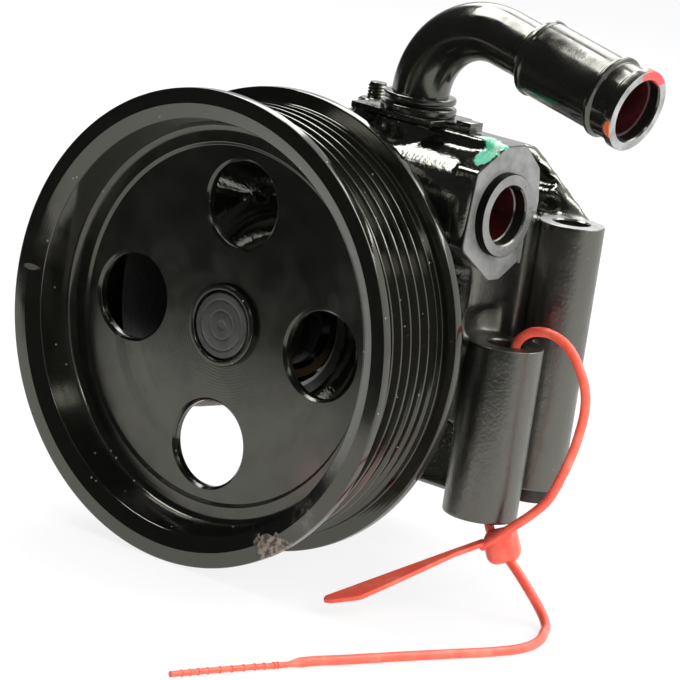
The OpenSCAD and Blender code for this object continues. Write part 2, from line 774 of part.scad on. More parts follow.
// Bolted cover with a spigot in the pump bore and a shallow dome
module rear_cover() {
    spigot = cavity_r - run_gap;
    seal_mid = cover_spigot_y + cover_spigot_h / 2;
    dome = cavity_r - 8;
    color("black") placed() difference() {
        turned() polygon([
            [0, cover_spigot_y], [spigot - edge, cover_spigot_y], [spigot, cover_spigot_y + edge],
            [spigot, seal_mid - groove_w / 2], [spigot - ring_d, seal_mid - groove_w / 2],
            [spigot - ring_d, seal_mid + groove_w / 2], [spigot, seal_mid + groove_w / 2],
            [spigot, cover_y], [barrel_r, cover_y], [barrel_r, cover_rear - 1],
            [barrel_r - 1, cover_rear], [dome, cover_rear], [dome - 3, cover_rear + 3],
            [dome - 12, cover_rear + 3], [dome - 14, cover_rear + 1], [0, cover_rear + 1]]);
        around_shaft(cover_bolt_count, 45) translate([cover_bolt_pcr, 0, 0])
            rod_y(cover_bolt_r + seat_gap, cover_spigot_y - over, cover_rear + over);
    }
}

// Round seal about the shaft axis, between two radii
module cover_o_ring() {
    mid = cavity_r - run_gap - ring_d / 2;
    color("black") placed() turned()
        translate([mid, cover_spigot_y + cover_spigot_h / 2]) circle(r = ring_d / 2 - seat_gap);
}

// Hexagon bolts with a round flange under the head
module cover_bolts() {
    color("dimgray") placed() around_shaft(cover_bolt_count, 45) translate([cover_bolt_pcr, 0, 0]) {
        rod_y(cover_bolt_r, cover_y - cover_bolt_len + over, cover_rear + 1);
        rod_y(cover_bolt_r + 2.5, cover_rear, cover_rear + 1.2);
        translate([0, cover_rear + 1, 0]) rotate([-90, 0, 0])
            cylinder(r = cover_bolt_r + 2.1, h = cover_head_h, $fn = 6);
    }
}

// Collared outlet fitting with the threaded port and a metering hole
module outlet_fitting() {
    port_end = port_reach + collar_h;
    seal_mid = port_reach - seal_inset;
    color("gray") placed() turned_x(valve_y, valve_height) polygon([
        [metering_r, fitting_end], [fitting_r - 0.8, fitting_end], [fitting_r, fitting_end + 0.8],
        [fitting_r, seal_mid - groove_w / 2], [fitting_r - ring_d, seal_mid - groove_w / 2],
        [fitting_r - ring_d, seal_mid + groove_w / 2], [fitting_r, seal_mid + groove_w / 2],
        [fitting_r, port_reach], [collar_r, port_reach], [collar_r, port_end - 0.3],
        [collar_r - 0.3, port_end], [port_r + 0.4, port_end], [port_r, port_end - 0.4],
        [port_r, port_end - port_depth], [metering_r, port_end - port_depth]]);
}

module valve_o_ring(x) {
    color("black") placed() turned_x(valve_y, valve_height)
        translate([fitting_r - ring_d / 2, x]) circle(r = ring_d / 2 - seat_gap);
}

module fitting_o_ring() {
    valve_o_ring(port_reach - seal_inset);
}

// Spool with two lands, oil grooves and a cup for the spring
module flow_spool() {
    waist = spool_r - 2.4;
    land = 7;
    color("silver") placed() difference() {
        turned_x(valve_y, valve_height) polygon([
            [0, spool_left], [spool_r - 0.4, spool_left], [spool_r, spool_left + 0.4],
            [spool_r, spool_left + land + 3], [waist, spool_left + land + 3.5],
            [waist, spool_right - land - 1.5], [spool_r, spool_right - land - 1],
            [spool_r, spool_right - 1.5], [spool_r - 1, spool_right - 1], [4, spool_right - 1],
            [3.6, spool_right], [0, spool_right]]);
        rod_x(cup_r, spool_left - over, spool_left + cup_depth, valve_y, valve_height);
    }
}

// Coil spring between the plug and the spool's cup
module flow_spring() {
    steps = 12;
    turns = spring_turns * steps;
    path = [for (i = [0 : turns])
        let (a = 360 * i / steps, x = spring_left + (spring_right - spring_left) * i / turns)
        [x, valve_y + spring_r * cos(a), valve_height + spring_r * sin(a)]];
    color("silver") placed() sweep(path, spring_wire, 6, [0, 1, 0]);
}

// Hexagon plug that closes the far end of the valve bore
module valve_plug() {
    seal_mid = -valve_tail + seal_inset;
    color("dimgray") placed() {
        turned_x(valve_y, valve_height) polygon([
            [0, -valve_tail - plug_flange_t], [plug_hex, -valve_tail - plug_flange_t],
            [plug_hex, -valve_tail - seat_gap], [fitting_r, -valve_tail - seat_gap],
            [fitting_r, seal_mid - groove_w / 2], [fitting_r - ring_d, seal_mid - groove_w / 2],
            [fitting_r - ring_d, seal_mid + groove_w / 2], [fitting_r, seal_mid + groove_w / 2],
            [fitting_r, plug_in - 0.8], [fitting_r - 0.8, plug_in],
            [0, plug_in]]);
        translate([-valve_tail - plug_head, valve_y, valve_height]) rotate([0, 90, 0])
            cylinder(r = plug_hex, h = plug_head - 1, $fn = 6);
    }
}

module plug_o_ring() {
    valve_o_ring(-valve_tail + seal_inset);
}

// Solid of the pipe's route, thicker or thinner by wall
module pipe_route(wall) {
    mouth = hose_end_len;
    wide_from = mouth - spigot_len;
    lap_r = riser_r - wall - 0.3;
    rod_z(riser_r - wall, pocket_floor + 0.2, riser_top, pipe_x, valve_y);
    rod_z(lap_r, riser_top - pipe_lap, riser_top + pipe_lap, pipe_x, valve_y);
    translate([pipe_x + bend_r, valve_y, riser_top]) rotate([90, 0, 0])
        rotate([0, 0, 180 - bend_angle]) rotate_extrude(angle = bend_angle)
        translate([bend_r, 0]) circle(r = riser_r - wall);
    translate([bend_end[0], valve_y, bend_end[1]]) rotate([0, bend_angle, 0]) rotate_extrude() polygon([
        [0, -pipe_lap], [lap_r, -pipe_lap], [lap_r, 0], [riser_r - wall, 0],
        [riser_r - wall, wide_from - 1.5], [spigot_r - wall, wide_from],
        [spigot_r - wall, mouth], [0, mouth]]);
}

// Collars at the foot and the beads at the mouth
module pipe_rings() {
    low = pad_top + clip_sheet;
    up = low + collar_low_h + collar_neck;
    rod_z(collar_low_r, low, low + collar_low_h, pipe_x, valve_y);
    rod_z(collar_up_r, up, up + collar_up_h, pipe_x, valve_y);
    bead_at = hose_end_len - mouth_rim_w - bead_gap - bead_w;
    translate([bend_end[0], valve_y, bend_end[1]]) rotate([0, bend_angle, 0]) rotate_extrude() polygon([
        [0, bead_at], [spigot_r, bead_at], [spigot_r + bead_h, bead_at + 0.8],
        [spigot_r + bead_h, bead_at + bead_w - 0.6], [spigot_r, bead_at + bead_w],
        [spigot_r, hose_end_len - mouth_rim_w], [spigot_r + bead_h, hose_end_len - mouth_rim_w + 0.9],
        [spigot_r + bead_h, hose_end_len - 0.7], [spigot_r + bead_h - 0.7, hose_end_len],
        [0, hose_end_len]]);
}

module suction_pipe() {
    seal_mid = pad_top - pipe_seal_drop;
    color("black") placed() difference() {
        union() {
            pipe_route(0);
            pipe_rings();
        }
        pipe_route(pipe_wall);
        rod_z(riser_r - pipe_wall, pocket_floor - over, pad_top, pipe_x, valve_y);
        translate([bend_end[0], valve_y, bend_end[1]]) rotate([0, bend_angle, 0])
            translate([0, 0, hose_end_len - over]) cylinder(r = spigot_r - pipe_wall, h = 2 * over);
        translate([pipe_x, valve_y, 0]) rotate_extrude()
            translate([riser_r - 0.8, seal_mid - 1]) square([over + 0.8, 2]);
    }
}

module pipe_o_ring() {
    thick = 0.8;
    color("black") placed() translate([pipe_x, valve_y, pad_top - pipe_seal_drop]) rotate_extrude()
        translate([riser_r - thick / 2, 0]) circle(r = thick / 2 - seat_gap);
}

// Sheet clip under the pipe's collar, with a lower ear for the stud and an upturned tab
module pipe_retainer() {
    reach_right = 10.5;
    tongue_reach = 18.2;
    tongue_half = 2.6;
    tab_t = 4.4;
    tab_h = 0.9;
    stud_room = 0.3;
    sheet_top = pad_top + clip_sheet;
    color("black") placed() difference() {
        union() {
            box([clip_left, valve_y - clip_half_w, pad_top],
                [pipe_x + reach_right, valve_y + clip_half_w, sheet_top]);
            box([clip_left, ear_near, stud_base],
                [clip_left + clip_sheet, valve_y + clip_half_w, sheet_top]);
            box([stud_x, ear_near, stud_base],
                [clip_left + clip_sheet, valve_y + clip_half_w, stud_base + clip_sheet]);
            rod_z(ear_r, stud_base, stud_base + clip_sheet, stud_x, stud_y);
            box([pipe_x, valve_y - tongue_half, pad_top],
                [pipe_x + tongue_reach, valve_y + tongue_half, sheet_top]);
            box([pipe_x + tongue_reach - tab_t, valve_y - tongue_half, pad_top],
                [pipe_x + tongue_reach, valve_y + tongue_half, sheet_top + tab_h]);
        }
        rod_z(riser_r + seat_gap, pad_top - over, sheet_top + over, pipe_x, valve_y);
        rod_z(stud_r + stud_room, stud_base - over, stud_base + clip_sheet + over, stud_x, stud_y);
    }
}

module retainer_stud() {
    top = stud_base + clip_sheet + nut_h + stud_proud;
    color("black") placed() translate([stud_x, stud_y, 0]) rotate_extrude() polygon([
        [0, stud_base - stud_sink], [stud_r, stud_base - stud_sink], [stud_r, top - edge],
        [stud_r - edge, top], [0, top]]);
}

// Flange nut that holds the clip down
module retainer_nut() {
    low = stud_base + clip_sheet + seat_gap;
    color("black") placed() difference() {
        union() {
            rod_z(nut_flange_r, low, low + nut_flange_t, stud_x, stud_y);
            translate([stud_x, stud_y, low]) cylinder(r = nut_hex_r, h = nut_h, $fn = 6);
        }
        rod_z(stud_r + seat_gap, low - over, low + nut_h + over, stud_x, stud_y);
    }
}

module mount_sleeve() {
    low = rear_boss_low - sleeve_proud;
    color("dimgray") placed() difference() {
        rod_z(sleeve_r, low, low + sleeve_len, boss_x, rear_boss_y);
        rod_z(boss_bore_r, low - over, low + sleeve_len + over, boss_x, rear_boss_y);
    }
}

// Cup plug pressed into the end of the cast oil passage
module passage_plug() {
    wall = 1.6;
    color("dimgray") placed() difference() {
        rod_x(core_r, -passage_reach + core_inset, -passage_reach + core_deep, passage_y, 0);
        rod_x(core_r - wall, -passage_reach, -passage_reach + core_deep - wall, passage_y, 0);
    }
}

module seal_strap() {
    color("tomato") placed() sweep(smoothed(STRAP, 2), strap_r, 8, [0, 1, 0]);
}

// Barrel-shaped lock head, with its axis along the tag
module seal_lock() {
    half = lock_len / 2;
    color("tomato") placed() translate(lock_at) rotate([0, 90 - lock_turn, lock_spin])
        rotate_extrude() polygon([
            [0, -half], [0.62 * lock_r, -half], [0.9 * lock_r, -0.6 * half], [lock_r, -0.2 * half],
            [lock_r, 0.2 * half], [0.9 * lock_r, 0.6 * half], [0.62 * lock_r, half], [0, half]]);
}

// Flat leaf-shaped tag that slants from the lock to the ground
module seal_tag() {
    neck = 2.4;
    color("tomato") placed() translate(tag_at) rotate([0, tag_pitch, tag_yaw])
        linear_extrude(height = tag_t) polygon([
            [0, -neck / 2], [0.2 * tag_len, -neck / 2], [0.97 * tag_len, -0.1 * tag_w],
            [tag_len, 0.1 * tag_w], [0.97 * tag_len, 0.4 * tag_w], [0.84 * tag_len, 0.9 * tag_w],
            [0.6 * tag_len, 0.66 * tag_w], [0.2 * tag_len, neck / 2], [0, neck / 2]]);
}

pulley();
pulley_hub();
drive_shaft();
bearing_inner_race();
bearing_outer_race();
bearing_balls();
bearing_cage();
bearing_snap_ring();
shaft_seal();
shaft_bush();
pump_housing();
front_plate();
cam_ring();
rotor();
vanes();
pressure_plate();
dowel_pins();
rotor_snap_ring();
plate_spring();
rear_cover();
cover_o_ring();
cover_bolts();
outlet_fitting();
fitting_o_ring();
flow_spool();
flow_spring();
valve_plug();
plug_o_ring();
suction_pipe();
pipe_o_ring();
pipe_retainer();
retainer_stud();
retainer_nut();
mount_sleeve();
passage_plug();
seal_strap();
seal_lock();
seal_tag();
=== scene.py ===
import math

import bpy
from mathutils import Matrix, Vector


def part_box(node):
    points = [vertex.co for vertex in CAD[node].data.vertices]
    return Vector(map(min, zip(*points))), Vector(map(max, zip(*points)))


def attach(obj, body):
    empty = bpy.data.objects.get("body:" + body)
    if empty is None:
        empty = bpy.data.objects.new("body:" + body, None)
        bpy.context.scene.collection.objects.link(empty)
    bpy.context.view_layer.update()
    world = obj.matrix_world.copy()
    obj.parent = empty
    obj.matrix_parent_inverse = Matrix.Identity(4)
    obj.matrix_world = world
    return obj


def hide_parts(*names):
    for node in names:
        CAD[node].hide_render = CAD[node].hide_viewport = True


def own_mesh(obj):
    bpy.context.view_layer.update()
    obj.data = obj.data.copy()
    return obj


bl_info = {
    "name": "Power Steering Pump",
    "version": (1, 0, 0),
    "blender": (4, 5, 0),
    "location": "View3D > Sidebar > Pump",
    "description": "Dresses the solids of a belt-driven power steering pump",
    "category": "Object",
}

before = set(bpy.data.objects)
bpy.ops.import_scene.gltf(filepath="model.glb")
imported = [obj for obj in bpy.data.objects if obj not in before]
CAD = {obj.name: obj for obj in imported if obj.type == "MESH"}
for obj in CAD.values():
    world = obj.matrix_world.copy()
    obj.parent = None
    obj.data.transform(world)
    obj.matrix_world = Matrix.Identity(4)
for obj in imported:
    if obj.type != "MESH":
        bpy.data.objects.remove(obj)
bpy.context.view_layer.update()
MM = 0.001
MERGE = 2e-6

# The shaft axis and the front of the pulley are the drawing's own zero lines.
PULLEY_BOX = [Vector(corner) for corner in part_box("pulley")]
SHAFT_X = (PULLEY_BOX[0].x + PULLEY_BOX[1].x) / 2
FRONT_Y = PULLEY_BOX[0].y
FLOOR_Z = PULLEY_BOX[0].z
X_AXIS, Y_AXIS, Z_AXIS = Vector((1, 0, 0)), Vector((0, 1, 0)), Vector((0, 0, 1))


def spot(x, y, z):
    """Place in metres of a point given in millimetres from the shaft axis and the pulley's front."""
    return Vector((SHAFT_X + x * MM, FRONT_Y + y * MM, z * MM))


# Places on the solids that several pieces share.
VALVE_Y, VALVE_Z = 49.96, 37.5
BOSS_X, REAR_BOSS_Y = 57.8, 69.96
SHAFT, VALVE, REAR_BOSS = spot(0, 0, 0), spot(0, VALVE_Y, VALVE_Z), spot(BOSS_X, REAR_BOSS_Y, 0)
RIM_MARK = spot(86.2, 53, 79)


def valve_axis(body):
    return spot(0, body.valve_y / MM, body.valve_z / MM)


def front_axis(body):
    return spot(body.boss_x / MM, body.valve_y / MM, 0)


def rear_axis(body):
    return spot(body.boss_x / MM, body.rear_boss_y / MM, 0)


def length(name, description, millimetres):
    return bpy.props.FloatProperty(
        name=name, description=description, default=millimetres * MM, unit="LENGTH", precision=5
    )


def tint(name, description, colour):
    return bpy.props.FloatVectorProperty(
        name=name, description=description, default=colour, subtype="COLOR", size=3, min=0, max=1
    )


# Sizes and colours


class PulleySizes(bpy.types.PropertyGroup):
    flange: length("Flange radius", "Radius of the front flange", 58.6)
    rear_flange: length("Rear flange radius", "Radius of the rear flange", 58.0)
    rib: length("Rib radius", "Radius at the tips of the belt ribs", 54.3)
    groove: length("Groove depth", "Depth of each belt groove", 2.6)
    pitch: length("Groove pitch", "Distance from one groove to the next", 3.56)
    first_groove: length("First groove", "Start of the first groove behind the front", 5.6)
    lip: length("Lip radius", "Inner radius of the flat ring on the front", 54.8)
    rim_wall: length("Rim inner radius", "Inner radius of the rim under the grooves", 50.1)
    web: length("Web depth", "Depth of the web behind the front", 12.3)
    web_back: length("Web back", "Depth of the web's rear face", 15.2)
    hole: length("Hole radius", "Radius of each hole in the web", 10.75)
    hole_circle: length("Hole circle", "Distance of each hole from the shaft axis", 30.3)
    hub: length("Hub radius", "Radius of the hub ring", 10.3)


class BodySizes(bpy.types.PropertyGroup):
    valve_y: length("Valve distance", "Distance of the valve axis behind the pulley's front", VALVE_Y)
    valve_z: length("Valve height", "Height of the valve axis above the shaft", VALVE_Z)
    barrel: length("Valve barrel radius", "Radius of the barrel round the valve", 15.0)
    port_face: length("Port face", "Distance of the port face from the shaft axis", 50.1)
    boss_x: length("Boss distance", "Distance of both bosses from the shaft axis", BOSS_X)
    rear_boss_y: length("Rear boss distance", "Distance of the rear boss behind the pulley's front", REAR_BOSS_Y)
    boss: length("Front boss radius", "Outer radius of the front boss", 9.3)
    rear_boss: length("Rear boss radius", "Outer radius of the rear boss", 8.3)
    bore: length("Bore radius", "Radius of the bolt bores", 4.5)
    grain: length("Casting grain", "Size of the cells that round the casting's edges", 1.0)


class PipeSizes(bpy.types.PropertyGroup):
    riser: length("Riser radius", "Outer radius of the riser and the bend", 7.2)
    hose_end: length("Hose end radius", "Outer radius of the wider hose end", 9.5)
    wall: length("Pipe wall", "Thickness of the pipe's wall", 1.6)
    bend: length("Bend radius", "Radius of the bend along the middle of the pipe", 18.7)
    bead: length("Bead height", "Height of the bead and the rim over the hose end", 0.9)


class TieSizes(bpy.types.PropertyGroup):
    strap: length("Strap diameter", "Diameter of the tie's strap", 2.4)
    run: length("Strap length", "Length of the strap from the tag to its loose end", 279.0)
    tag: length("Tag length", "Length of the flat tag", 46.5)
    tag_width: length("Tag width", "Greatest width of the tag", 6.5)


class FinishColours(bpy.types.PropertyGroup):
    paint: tint("Black paint", "Gloss paint on the pulley, the casting and the pipe", (0.0042, 0.0042, 0.0034))
    dust: tint("Dust", "Pale dust in the paint", (0.32, 0.31, 0.29))
    machined: tint("Machined face", "Milled faces of the port flange and the bosses", (0.27, 0.27, 0.265))
    steel: tint("Dark steel", "Turned steel under a wash of paint", (0.085, 0.085, 0.08))
    ground: tint("Ground steel", "Bearing and pump pieces", (0.52, 0.52, 0.54))
    bronze: tint("Bronze", "Bush and bearing cage", (0.11, 0.075, 0.042))
    rubber: tint("Rubber", "Seals", (0.014, 0.014, 0.015))
    # Red inside the port and the pipe, darkened as painted shade of the deep bores.
    primer: tint("Red primer", "Dark red inside the port and the pipe", (0.045, 0.006, 0.007))
    marker: tint("Green marker", "Brushed paint mark by the port", (0.06, 0.66, 0.4))
    tie: tint("Tie plastic", "Red plastic of the seal tie", (0.88, 0.115, 0.07))
    chip: tint("Bare chip", "Scraped metal under the paint", (0.3, 0.25, 0.2))


# Modelling helpers


def clear_selection():
    """Leave edit mode with nothing selected."""
    if bpy.context.object and bpy.context.object.mode != "OBJECT":
        bpy.ops.object.mode_set(mode="OBJECT")
    bpy.ops.object.select_all(action="DESELECT")


def pick(piece):
    clear_selection()
    piece.select_set(True)
    bpy.context.view_layer.objects.active = piece


def open_mesh(piece):
    """Enter edit mode on one piece, with all of its mesh selected."""
    pick(piece)
    bpy.ops.object.mode_set(mode="EDIT")
    bpy.ops.mesh.select_all(action="SELECT")


def close_mesh(smooth_angle=35):
    """Merge and turn the faces of the mesh in edit mode outwards, and shade it."""
    bpy.ops.mesh.select_all(action="SELECT")
    bpy.ops.mesh.remove_doubles(threshold=MERGE)
    bpy.ops.mesh.normals_make_consistent(inside=False)
    bpy.ops.object.mode_set(mode="OBJECT")
    bpy.ops.object.shade_smooth_by_angle(angle=math.radians(smooth_angle))


def smooth(piece, angle=30):
    pick(piece)
    bpy.ops.object.shade_smooth_by_angle(angle=math.radians(angle))


def added(name):
    """Name the object that was just added, and put its place and size into its mesh."""
    piece = bpy.context.object
    piece.name = piece.data.name = name
    bpy.ops.object.transform_apply()
    return piece


def rounded(corners, steps=4):
    """Outline through (a, b, fillet) corners, with each fillet drawn as a short arc."""
    points = []
    count = len(corners)
    for i, (a, b, fillet) in enumerate(corners):
        here = Vector((a, b))
        if fillet <= 0 or i in (0, count - 1):
            points.append((a, b))
            continue
        back = Vector(corners[i - 1][:2]) - here
        ahead = Vector(corners[i + 1][:2]) - here
        half = back.angle(ahead) / 2
        reach = min(fillet / math.tan(half), 0.48 * back.length, 0.48 * ahead.length)
        start = here + back.normalized() * reach
        end = here + ahead.normalized() * reach
        for k in range(steps + 1):
            t = k / steps
            bent = start * (1 - t) ** 2 + here * (2 * t * (1 - t)) + end * t ** 2
            points.append((bent.x, bent.y))
    return points


def draw_line(name, points):
    """One vertex pulled along the points, left in edit mode with all of it selected."""
    clear_selection()
    bpy.ops.mesh.primitive_plane_add(size=MM, location=points[0])
    piece = added(name)
    open_mesh(piece)
    bpy.ops.mesh.merge(type="CENTER")
    for here, there in zip(points, points[1:]):
        bpy.ops.mesh.extrude_region_move(TRANSFORM_OT_translate={"value": there - here})
    bpy.ops.mesh.select_all(action="SELECT")
    return piece


def lathe(name, corners, centre, axis, turns=96, smooth_angle=35):
    """Turn (radius, station, fillet) corners in millimetres about an axis through centre."""
    across = Z_AXIS if abs(axis.z) < 0.5 else X_AXIS
    across = (across - axis * across.dot(axis)).normalized()
    line = [centre + across * (r * MM) + axis * (s * MM) for r, s in rounded(corners)]
    piece = draw_line(name, line)
    bpy.ops.mesh.spin(steps=turns, angle=2 * math.pi, center=centre, axis=axis)
    close_mesh(smooth_angle)
    return piece


def plate(name, corners, place, push, steps):
    """Flat outline of (a, b, fillet) corners, set by place and pushed to its thickness."""
    ring = list(corners) + [corners[0], corners[1]]
    piece = draw_line(name, [place(a, b) for a, b in rounded(ring, steps)[1:-1]])
    bpy.ops.mesh.remove_doubles(threshold=MERGE)
    bpy.ops.mesh.edge_face_add()
    bpy.ops.mesh.extrude_region_move(TRANSFORM_OT_translate={"value": push})
    close_mesh()
    return piece


def add_modifier(piece, kind, **settings):
    pick(piece)
    modifier = piece.modifiers.new(kind.lower(), kind)
    for key, value in settings.items():
        setattr(modifier, key, value)
    bpy.ops.object.modifier_apply(modifier=modifier.name)


def ease_edges(piece, millimetres, segments=2, angle=32):
    add_modifier(
        piece, "BEVEL", width=millimetres * MM, segments=segments, limit_method="ANGLE",
        angle_limit=math.radians(angle),
    )
    smooth(piece, 35)


def combine(piece, other, operation, solver="EXACT"):
    """Cut, fuse or trim a piece by another, which is used up."""
    add_modifier(piece, "BOOLEAN", operation=operation, object=other, solver=solver)
    bpy.data.objects.remove(other)


def twin_of(piece, name):
    """Copy of a piece with its own mesh."""
    twin = piece.copy()
    twin.data = piece.data.copy()
    twin.name = twin.data.name = name
    bpy.context.scene.collection.objects.link(twin)
    return twin


def merge_copy(node, name):
    """Own copy of a solid, with its loose triangles merged."""
    piece = twin_of(CAD[node], name)
    piece.parent = None
    for key in list(piece.keys()):
        del piece[key]
    open_mesh(piece)
    bpy.ops.mesh.remove_doubles(threshold=MERGE)
    bpy.ops.object.mode_set(mode="OBJECT")
    piece.data.materials.clear()
    return piece


def join(name, pieces):
    clear_selection()
    for piece in pieces:
        piece.select_set(True)
    bpy.context.view_layer.objects.active = pieces[0]
    bpy.ops.object.join()
    pieces[0].name = pieces[0].data.name = name
    return pieces[0]


def hex_head(name, centre, axis, corner, low, high, flange=None, bore=0.0):
    """Six-sided head with a turned chamfer, and a round flange under it."""
    clear_selection()
    bpy.ops.mesh.primitive_cylinder_add(
        vertices=6, radius=corner * MM, depth=(high - low) * MM,
        location=centre + axis * ((low + high) / 2 * MM), rotation=axis.to_track_quat("Z", "X").to_euler(),
    )
    head = added(name)
    flat = corner * math.cos(math.pi / 6)
    combine(head, lathe("chamfer", [
        (0, low - 1, 0), (corner * 1.3, low - 1, 0), (corner * 1.3, high - 0.35 * corner, 0),
        (flat * 0.96, high + 0.02, 0), (0, high + 0.02, 0),
    ], centre, axis, 72), "INTERSECT")
    ease_edges(head, 0.2, 2, 25)
    if flange:
        radius, thick = flange
        combine(head, lathe("flange", [
            (0, low, 0), (radius, low, 0.15), (radius, low + 0.6 * thick, 0.3),
            (corner * 0.9, low + 1.7 * thick, 0), (0, low + 1.7 * thick, 0),
        ], centre, axis, 72), "UNION")
    if bore:
        combine(head, lathe("bore", [
            (0, low - 1, 0), (bore, low - 1, 0), (bore, high + 1, 0), (0, high + 1, 0),
        ], centre, axis, 64), "DIFFERENCE")
    smooth(head)
    return head


def dress(piece, coat, body, slot, *nodes):
    """Give a finished piece its material and body, and let it stand for its solids; the record slot is not used.
    """
    piece.data.materials.clear()
    piece.data.materials.append(FINISHES[coat])
    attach(piece, body)
    if nodes:
        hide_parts(*nodes)


def paint_faces(piece, coat, wanted):
    """Put one more finish on the faces that a test of middle and normal picks."""
    piece.data.materials.append(FINISHES[coat])
    index = len(piece.data.materials) - 1
    for face in piece.data.polygons:
        if wanted(face.center, face.normal):
            face.material_index = index


# Materials

FINISHES = {}
WARM = (1, 0.99, 0.87)


class NodeWork:
    """Nodes of a material or a world, made and wired by name."""

    def __init__(self, owner):
        owner.use_nodes = True
        self.nodes = owner.node_tree.nodes
        self.links = owner.node_tree.links

    def wire(self, value, socket):
        if isinstance(value, bpy.types.NodeSocket):
            self.links.new(value, socket)
        elif socket.type == "RGBA":
            socket.default_value = (*value, 1)
        else:
            socket.default_value = value

    def node(self, kind, inputs=None, **settings):
        """New node with its settings made and its inputs set or linked. Returns its outputs."""
        node = self.nodes.new("ShaderNode" + kind)
        for name, value in settings.items():
            setattr(node, name, value)
        for key, value in (inputs or {}).items():
            self.wire(value, node.inputs[key])
        return node.outputs

    def maths(self, operation, first, second, clamp=False):
        return self.node("Math", {0: first, 1: second}, operation=operation, use_clamp=clamp)[0]

    def ramp(self, value, low, high, out_low=0.0, out_high=1.0):
        """Rise smoothly from one level to another while the value goes from low to high."""
        inputs = {"Value": value, "From Min": low, "From Max": high, "To Min": out_low, "To Max": out_high}
        return self.node("MapRange", inputs, interpolation_type="SMOOTHSTEP")["Result"]


class Finish(NodeWork):
    """A node material in the making, in object coordinates."""

    def __init__(self, name, gloss=1.5, metal=0.0, sheen=(1, 1, 1)):
        self.material = bpy.data.materials.new(name)
        super().__init__(self.material)
        self.shader = self.nodes["Principled BSDF"]
        self.place = self.node("TexCoord")["Object"]
        self.set("IOR", gloss)
        self.set("Metallic", metal)
        self.set("Specular Tint", sheen)

    def set(self, name, value):
        self.wire(value, self.shader.inputs[name])

    def shifted(self, centre, stretch=(1, 1, 1), turn=(0, 0, 0)):
        """Object coordinates counted from a centre, turned and stretched."""
        moved = self.node("VectorMath", {0: self.place, 1: centre}, operation="SUBTRACT")[0]
        return self.node("Mapping", {"Vector": moved, "Rotation": turn, "Scale": stretch})["Vector"]

    def far(self, place):
        return self.node("VectorMath", {0: place}, operation="LENGTH")["Value"]

    def noise(self, scale, detail=4.0, roughness=0.55, place=None):
        return self.node("TexNoise", {
            "Vector": place or self.place, "Scale": scale, "Detail": detail, "Roughness": roughness,
        })["Fac"]

    def uneven(self, scale, detail, low, high, top=0.7):
        """Value that wanders between two levels."""
        return self.ramp(self.noise(scale, detail), 0.3, top, low, high)

    def rings(self, centre, axis, scale):
        return self.node("TexWave", {
            "Vector": self.shifted(centre), "Scale": scale, "Distortion": 0.4, "Detail": 2, "Detail Scale": 40,
        }, wave_type="RINGS", rings_direction=axis)["Fac"]

    def blend(self, share, low, high):
        return self.node("Mix", {"Factor": share, 6: low, 7: high}, data_type="RGBA")[2]

    def stain(self, base, mask, colour, share=1.0):
        """Lay a colour over the base where the mask is."""
        return self.blend(self.maths("MULTIPLY", mask, share) if share < 1 else mask, base, colour)

    def specks(self, scale, share, radius):
        """Scattered dots, in some of the cells that fill space."""
        cells = self.node("TexVoronoi", {"Vector": self.place, "Scale": scale})
        near = self.ramp(cells["Distance"], radius * 0.5, radius, 1, 0)
        return self.maths("MULTIPLY", near, self.maths("LESS_THAN", cells["Color"], share))

    def patch(self, centre, size, ragged, scale, turn=(0, 0, 0), soft=0.25):
        """1 inside a ragged blob of the given half sizes in millimetres, 0 outside."""
        far = self.far(self.shifted(centre, [1 / (s * MM) for s in size], turn))
        inputs = {0: self.noise(scale, 5, 0.65), 1: 2 * ragged, 2: -ragged}
        torn = self.node("Math", inputs, operation="MULTIPLY_ADD")[0]
        return self.ramp(self.maths("ADD", far, torn), 1 - soft, 1 + soft, 1, 0)

    def bump(self, height, strength, distance, under=None):
        """Relief of a depth in millimetres, laid over another relief where one is given."""
        inputs = {"Strength": strength, "Distance": distance * MM, "Height": height}
        if under:
            inputs["Normal"] = under
        return self.node("Bump", inputs)["Normal"]


def plain(colour, share=1):
    return tuple(part * share for part in colour)


